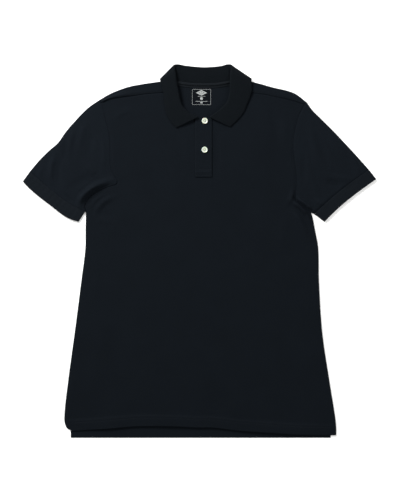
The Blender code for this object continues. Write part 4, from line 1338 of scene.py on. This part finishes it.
def plate(points, faces, corners, base, top):
    """Adds a thin raised plate with a given plan outline."""
    start, count = len(points), len(corners)
    for z in (base, top):
        points.extend((x, y, z) for x, y in corners)
    faces.append([start + count + k for k in range(count)])
    faces.append([start + k for k in range(count)][::-1])
    for k in range(count):
        n = (k + 1) % count
        faces.append([start + k, start + n, start + count + n, start + count + k])


def band(points, faces, outline, hole, base, top):
    """Adds a thin raised band between two like outlines."""
    start, count = len(points), len(outline)
    for loop, z in ((outline, base), (outline, top), (hole, top), (hole, base)):
        points.extend((x, y, z) for x, y in loop)
    for ring in range(4):
        for k in range(count):
            n = (k + 1) % count
            a, b = start + ring * count, start + ((ring + 1) % 4) * count
            faces.append([a + k, a + n, b + n, b + k])


CORNERS = ((1, 1), (-1, 1), (-1, -1), (1, -1))


def rounded_box(centre, size, radius, steps=5):
    """Plan outline of a rectangle with rounded corners."""
    out = []
    for k, (sx, sy) in enumerate(CORNERS):
        mid_x, mid_y = centre[0] + sx * (size[0] / 2 - radius), centre[1] + sy * (size[1] / 2 - radius)
        for s in range(steps + 1):
            a = math.radians(90 * k + 90 * s / steps)
            out.append((mid_x + radius * math.cos(a), mid_y + radius * math.sin(a)))
    return out


def lozenge(centre, reach):
    """Plan outline of a lozenge, twice as wide as high."""
    return [(centre[0] + a * reach, centre[1] + b * reach / 2) for a, b in ((1, 0), (0, 1), (-1, 0), (0, -1))]


class POLO_OT_neck_print(PoloOperator, bpy.types.Operator):
    """Printed square inside the back neck, with a plain frame and a plain ornament"""

    bl_idname = "polo.neck_print"
    bl_label = "Neck print"

    def build(self, sizes, looks):
        ground = finish_named("print_ground", print_finish, looks.film, 0.86, looks.shine)
        ink = finish_named("print_ink", print_finish, looks.ink, 0.6, 0.3)
        x, y = PRINT_CENTRE
        low = sizes.jersey / MM + 0.05
        points, faces = [], []
        base, top = low + PRINT_GROUND_HEIGHT, low + PRINT_GROUND_HEIGHT + PRINT_INK_HEIGHT
        plate(points, faces, rounded_box(PRINT_CENTRE, PRINT_SIZE, 1.6), low, base)
        film = make_object("neck_print_ground", points, faces, ground, plan_uvs(points))
        film.data.set_sharp_from_angle(angle=math.radians(30))
        dress(film, "neck_print", "neck_print")

        points, faces = [], []
        wide, high = PRINT_SIZE[0] - 1.0, PRINT_SIZE[1] - 1.0
        outline = rounded_box(PRINT_CENTRE, (wide, high), 1.4)
        hole = rounded_box(PRINT_CENTRE, (wide - 2 * PRINT_FRAME, high - 2 * PRINT_FRAME), 1.4 - PRINT_FRAME)
        band(points, faces, outline, hole, base, top)
        for reaches in PRINT_LOZENGES:
            outline, hole = (lozenge((x, y + PRINT_LOZENGE_RISE), reach) for reach in reaches)
            band(points, faces, outline, hole, base, top)
        for rise, width, thick in PRINT_BARS:
            plate(points, faces, rounded_box((x, y + rise), (width, thick), thick * 0.3, 2), base, top)
        mark = make_object("neck_print_ink", points, faces, ink, plan_uvs(points))
        mark.data.set_sharp_from_angle(angle=math.radians(30))
        dress(mark, "neck_print")


def circle(radius, z, centre, count):
    """A level circle of points."""
    a = 2 * math.pi * np.arange(count) / count
    return lifted(np.array(centre) + radius * np.column_stack([np.cos(a), np.sin(a)]), z)


class POLO_OT_buttons(PoloOperator, bpy.types.Operator):
    """Two four-hole buttons, each sewn on with crossed thread"""

    bl_idname = "polo.buttons"
    bl_label = "Buttons"

    def build(self, sizes, looks):
        resin = finish_named("button_resin", button_finish, looks)
        cord = finish_named("button_thread", thread_finish, looks, looks.button_thread, 0.3)
        for name, centre in BUTTON_CENTRES.items():
            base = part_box(name)[0][2] / MM
            piece, dish = make_button(name + "_resin", centre, base, sizes, resin)
            dress(piece, "buttons", name)
            thread = Thread(2.0, 0.5, BUTTON_THREAD_RADIUS)
            holes = np.array(CORNERS) * BUTTON_HOLE_PLACE
            for a, b in ((0, 2), (1, 3)):
                start, end = holes[a], holes[b]
                side = np.array([start[1] - end[1], end[0] - start[0]]) / np.linalg.norm(end - start)
                for k, offset in enumerate((-0.34, 0.0, 0.34)):
                    shift = side * offset + np.array(centre)
                    height = dish + 0.25 + 0.12 * (k == 1) + 0.18 * a
                    thread.add((*(start + shift), height), (*(end + shift), height), (0, 0, 1))
            dress(thread.finish(name + "_thread", cord), "buttons")


def make_button(name, centre, base, sizes, surface):
    """A button turned to a soft rim round a shallow dish. Gives the piece and the height of its dish."""
    count, hole_count = 72, 20
    radius, height = sizes.button_radius / MM, sizes.button_height / MM
    profile = [(radius - 0.9, 0.0), (radius - 0.45, 0.08), (radius - 0.12, 0.4), (radius, 0.9), (radius, 1.5)]
    for turn in np.radians(np.linspace(15, 165, 11)):
        profile.append((radius - 0.95 + 0.95 * math.cos(turn), height - 0.75 + 0.75 * math.sin(turn)))
    profile += [(radius - 2.2, height - 0.72), (radius - 2.6, height - 0.9), (radius - 3.0, height - 0.95)]
    rings = [circle(r, base + z, centre, count) for r, z in profile]
    points = [tuple(p) for ring in rings for p in ring]
    faces = ring_faces(len(rings), count).tolist()
    top_z, low_z = base + profile[-1][1], base
    tops, lows = [rings[-1]], [rings[0]]
    top_ids, low_ids = [list(range(count * (len(rings) - 1), count * len(rings)))], [list(range(count))]
    for sx, sy in CORNERS:
        middle = (centre[0] + sx * BUTTON_HOLE_PLACE, centre[1] + sy * BUTTON_HOLE_PLACE)
        for z, loops, ids in ((top_z, tops, top_ids), (low_z, lows, low_ids)):
            loop = circle(BUTTON_HOLE_RADIUS, z, middle, hole_count)
            ids.append(list(range(len(points), len(points) + hole_count)))
            points.extend(tuple(p) for p in loop)
            loops.append(loop)
        for k in range(hole_count):
            n = (k + 1) % hole_count
            faces.append([top_ids[-1][k], top_ids[-1][n], low_ids[-1][n], low_ids[-1][k]])
    for loops, ids, up in ((tops, top_ids, True), (lows, low_ids, False)):
        numbers = [i for loop in ids for i in loop]
        for t in tessellate_polygon([[Vector(p) for p in loop] for loop in loops]):
            f = [numbers[i] for i in t]
            a, b, c = (Vector(points[i]) for i in f)
            rising = (b - a).cross(c - a).z > 0
            faces.append(f if rising == up else f[::-1])
    piece = make_object(name, points, faces, surface, plan_uvs(points))
    piece.data.set_sharp_from_angle(angle=math.radians(40))
    return piece, top_z


class POLO_OT_stitching(PoloOperator, bpy.types.Operator):
    """Rows of stitches on the hems, shoulders, placket, neck tape and side vents"""

    bl_idname = "polo.stitching"
    bl_label = "Stitching"

    def build(self, sizes, looks):
        cotton = finish_named("seam_thread", thread_finish, looks, looks.thread, looks.shine * 2)
        settings = (sizes.stitch_length / MM, sizes.stitch_gap / MM, sizes.thread / MM)
        names = ("front_cloth", "back_cloth", "placket_outer_cloth", "neck_tape_cloth")
        on_front, on_back, on_placket, on_tape = (surface_tree(piece_named(name)) for name in names)
        fine = np.linspace(0, 1, 120)

        hems = Thread(*settings)
        hem = np.concatenate([along(FRONT_HEM_LEFT, fine), along(FRONT_HEM_RIGHT, fine)[::-1]])
        for up in HEM_ROWS:
            hems.row(shifted(hem, up)[4:-4], on_front)
        steps = row_steps(FRONT_LEFT, FRONT_RIGHT)
        for side, way in ((FRONT_LEFT, -1), (FRONT_RIGHT, 1)):
            edge = edge_points(side, steps, 0)
            start = sum(steps[:2])
            vent = edge[start : start + 14]
            hems.row(shifted(vent, way * 6.0), on_front)
        dress(hems.finish("hem_stitching", cotton), "body_cloth")

        shoulders = Thread(*settings)
        for seam, way in ((SHOULDER_SEAM_LEFT, 1), (SHOULDER_SEAM_RIGHT, -1)):
            line = shifted(along(seam, fine), way * 2.4)
            shoulders.row(line[5:-3], on_back)
        dress(shoulders.finish("shoulder_stitching", cotton), "body_cloth")

        edges = Thread(*settings)
        left, right = PLACKET_LEFT + PLACKET_STITCH_INSET, PLACKET_RIGHT - PLACKET_STITCH_INSET
        for x in (left, right):
            edges.row([(x, PLACKET_BOTTOM + 2.4), (x, NECK_FRONT - 2)], on_placket)
        for y in PLACKET_ROWS:
            edges.row([(left, y), (right, y)], on_placket)
        for x, y in BUTTON_CENTRES.values():
            buttonhole(edges, x, y, on_placket)
        dress(edges.finish("placket_stitching", cotton), "body_cloth")

        taped = Thread(*settings)
        line = smooth(TAPE_LINE, [16] * (len(TAPE_LINE) - 1))
        for out in TAPE_ROWS:
            taped.row(shifted(line, out)[1:-1], on_tape)
        dress(taped.finish("tape_stitching", cotton), "tape")


def buttonhole(thread, x, y, tree):
    """Close bars of thread beside a slit that runs up the placket, where the button leaves it bare."""
    half, bare, reach, slit, pitch, radius = 7.6, 4.0, 1.3, 0.12, 0.62, 0.34
    for k in range(int(2 * half / pitch) + 1):
        level = y - half + k * pitch
        if abs(level - y) < bare or level > NECK_FRONT - 0.6:
            continue
        for side in (-1, 1):
            ends = dropped([(x + side * slit, level), (x + side * reach, level)], tree)
            if len(ends) == 2:
                thread.add(ends[0][0], ends[1][0], ends[0][1], radius)


class POLO_OT_stage(PoloOperator, bpy.types.Operator):
    """Pale surface, soft lights and the camera straight above"""

    bl_idname = "polo.stage"
    bl_label = "Stage"

    def build(self, sizes, looks):
        stage = bpy.context.scene.polo_stage
        half = stage.floor_size / 2 / MM
        floor = make_object(
            "studio_surface",
            [(x, y, -0.15) for x, y in ((-half, -half), (half, -half), (half, half), (-half, half))],
            [(0, 1, 2, 3)],
            floor_finish("studio_paper", stage.floor_colour),
        )

        world = bpy.data.worlds.new("studio")
        world.use_nodes = True
        tree = world.node_tree
        way = put(tree, "ShaderNodeTexCoord", {}).outputs["Generated"]
        rise = put(tree, "ShaderNodeSeparateXYZ", {0: way}).outputs["Z"]
        sky = {"Value": rise, "From Max": 0.5, "To Min": 1.0, "To Max": stage.fill}
        sky = put(tree, "ShaderNodeMapRange", sky)
        background = tree.nodes["Background"]
        background.inputs["Color"].default_value = (1.0, 1.0, 0.995, 1.0)
        tree.links.new(sky.outputs["Result"], background.inputs["Strength"])
        bpy.context.scene.world = world

        lights = (
            ("key_light", (-1.08, 1.3, 1.3), (-0.05, 0.05, 0), 0.9, stage.key),
            ("side_light", (1.5, -0.4, 1.6), (0.0, 0.0, 0), 1.6, stage.key * 0.22),
        )
        for name, place, aim, size, power in lights:
            data = bpy.data.lights.new(name, "AREA")
            data.shape = "DISK"
            data.size = size
            data.energy = power
            lamp = bpy.data.objects.new(name, data)
            lamp.location = place
            lamp.rotation_euler = (Vector(aim) - Vector(place)).to_track_quat("-Z", "Y").to_euler()
            bpy.context.scene.collection.objects.link(lamp)

        scene = bpy.context.scene
        data = bpy.data.cameras.new("camera")
        data.sensor_width = 36
        data.lens = data.sensor_width * stage.camera_height / stage.view_height
        camera = bpy.data.objects.new("camera", data)
        camera.location = (0.001, 0.0022, stage.camera_height)
        scene.collection.objects.link(camera)
        scene.camera = camera
        scene.view_settings.view_transform = "Standard"
        scene.view_settings.look = "None"


OPERATORS = (
    POLO_OT_back,
    POLO_OT_front,
    POLO_OT_placket,
    POLO_OT_sleeves,
    POLO_OT_cuffs,
    POLO_OT_collar,
    POLO_OT_neck_tape,
    POLO_OT_neck_print,
    POLO_OT_buttons,
    POLO_OT_stitching,
    POLO_OT_stage,
)


class POLO_PT_panel(bpy.types.Panel):
    """Lists the steps of the build and the settings"""

    bl_idname = "POLO_PT_panel"
    bl_label = "Polo shirt"
    bl_space_type = "VIEW_3D"
    bl_region_type = "UI"
    bl_category = "Polo"

    def draw(self, context):
        for operator in OPERATORS:
            self.layout.operator(operator.bl_idname)
        for group in (context.scene.polo_sizes, context.scene.polo_looks, context.scene.polo_stage):
            box = self.layout.box()
            for name in group.__annotations__:
                box.prop(group, name)


GROUPS = {"polo_sizes": PoloSizes, "polo_looks": PoloLooks, "polo_stage": PoloStage}


def register():
    for group in GROUPS.values():
        bpy.utils.register_class(group)
    for operator in OPERATORS:
        bpy.utils.register_class(operator)
    bpy.utils.register_class(POLO_PT_panel)
    for name, group in GROUPS.items():
        setattr(bpy.types.Scene, name, bpy.props.PointerProperty(type=group))


def unregister():
    for name in GROUPS:
        delattr(bpy.types.Scene, name)
    bpy.utils.unregister_class(POLO_PT_panel)
    for operator in reversed(OPERATORS):
        bpy.utils.unregister_class(operator)
    for group in reversed(list(GROUPS.values())):
        bpy.utils.unregister_class(group)


def main():
    register()
    for operator in OPERATORS:
        space, call = operator.bl_idname.split(".")
        getattr(getattr(bpy.ops, space), call)()


if __name__ == "__main__":
    main()
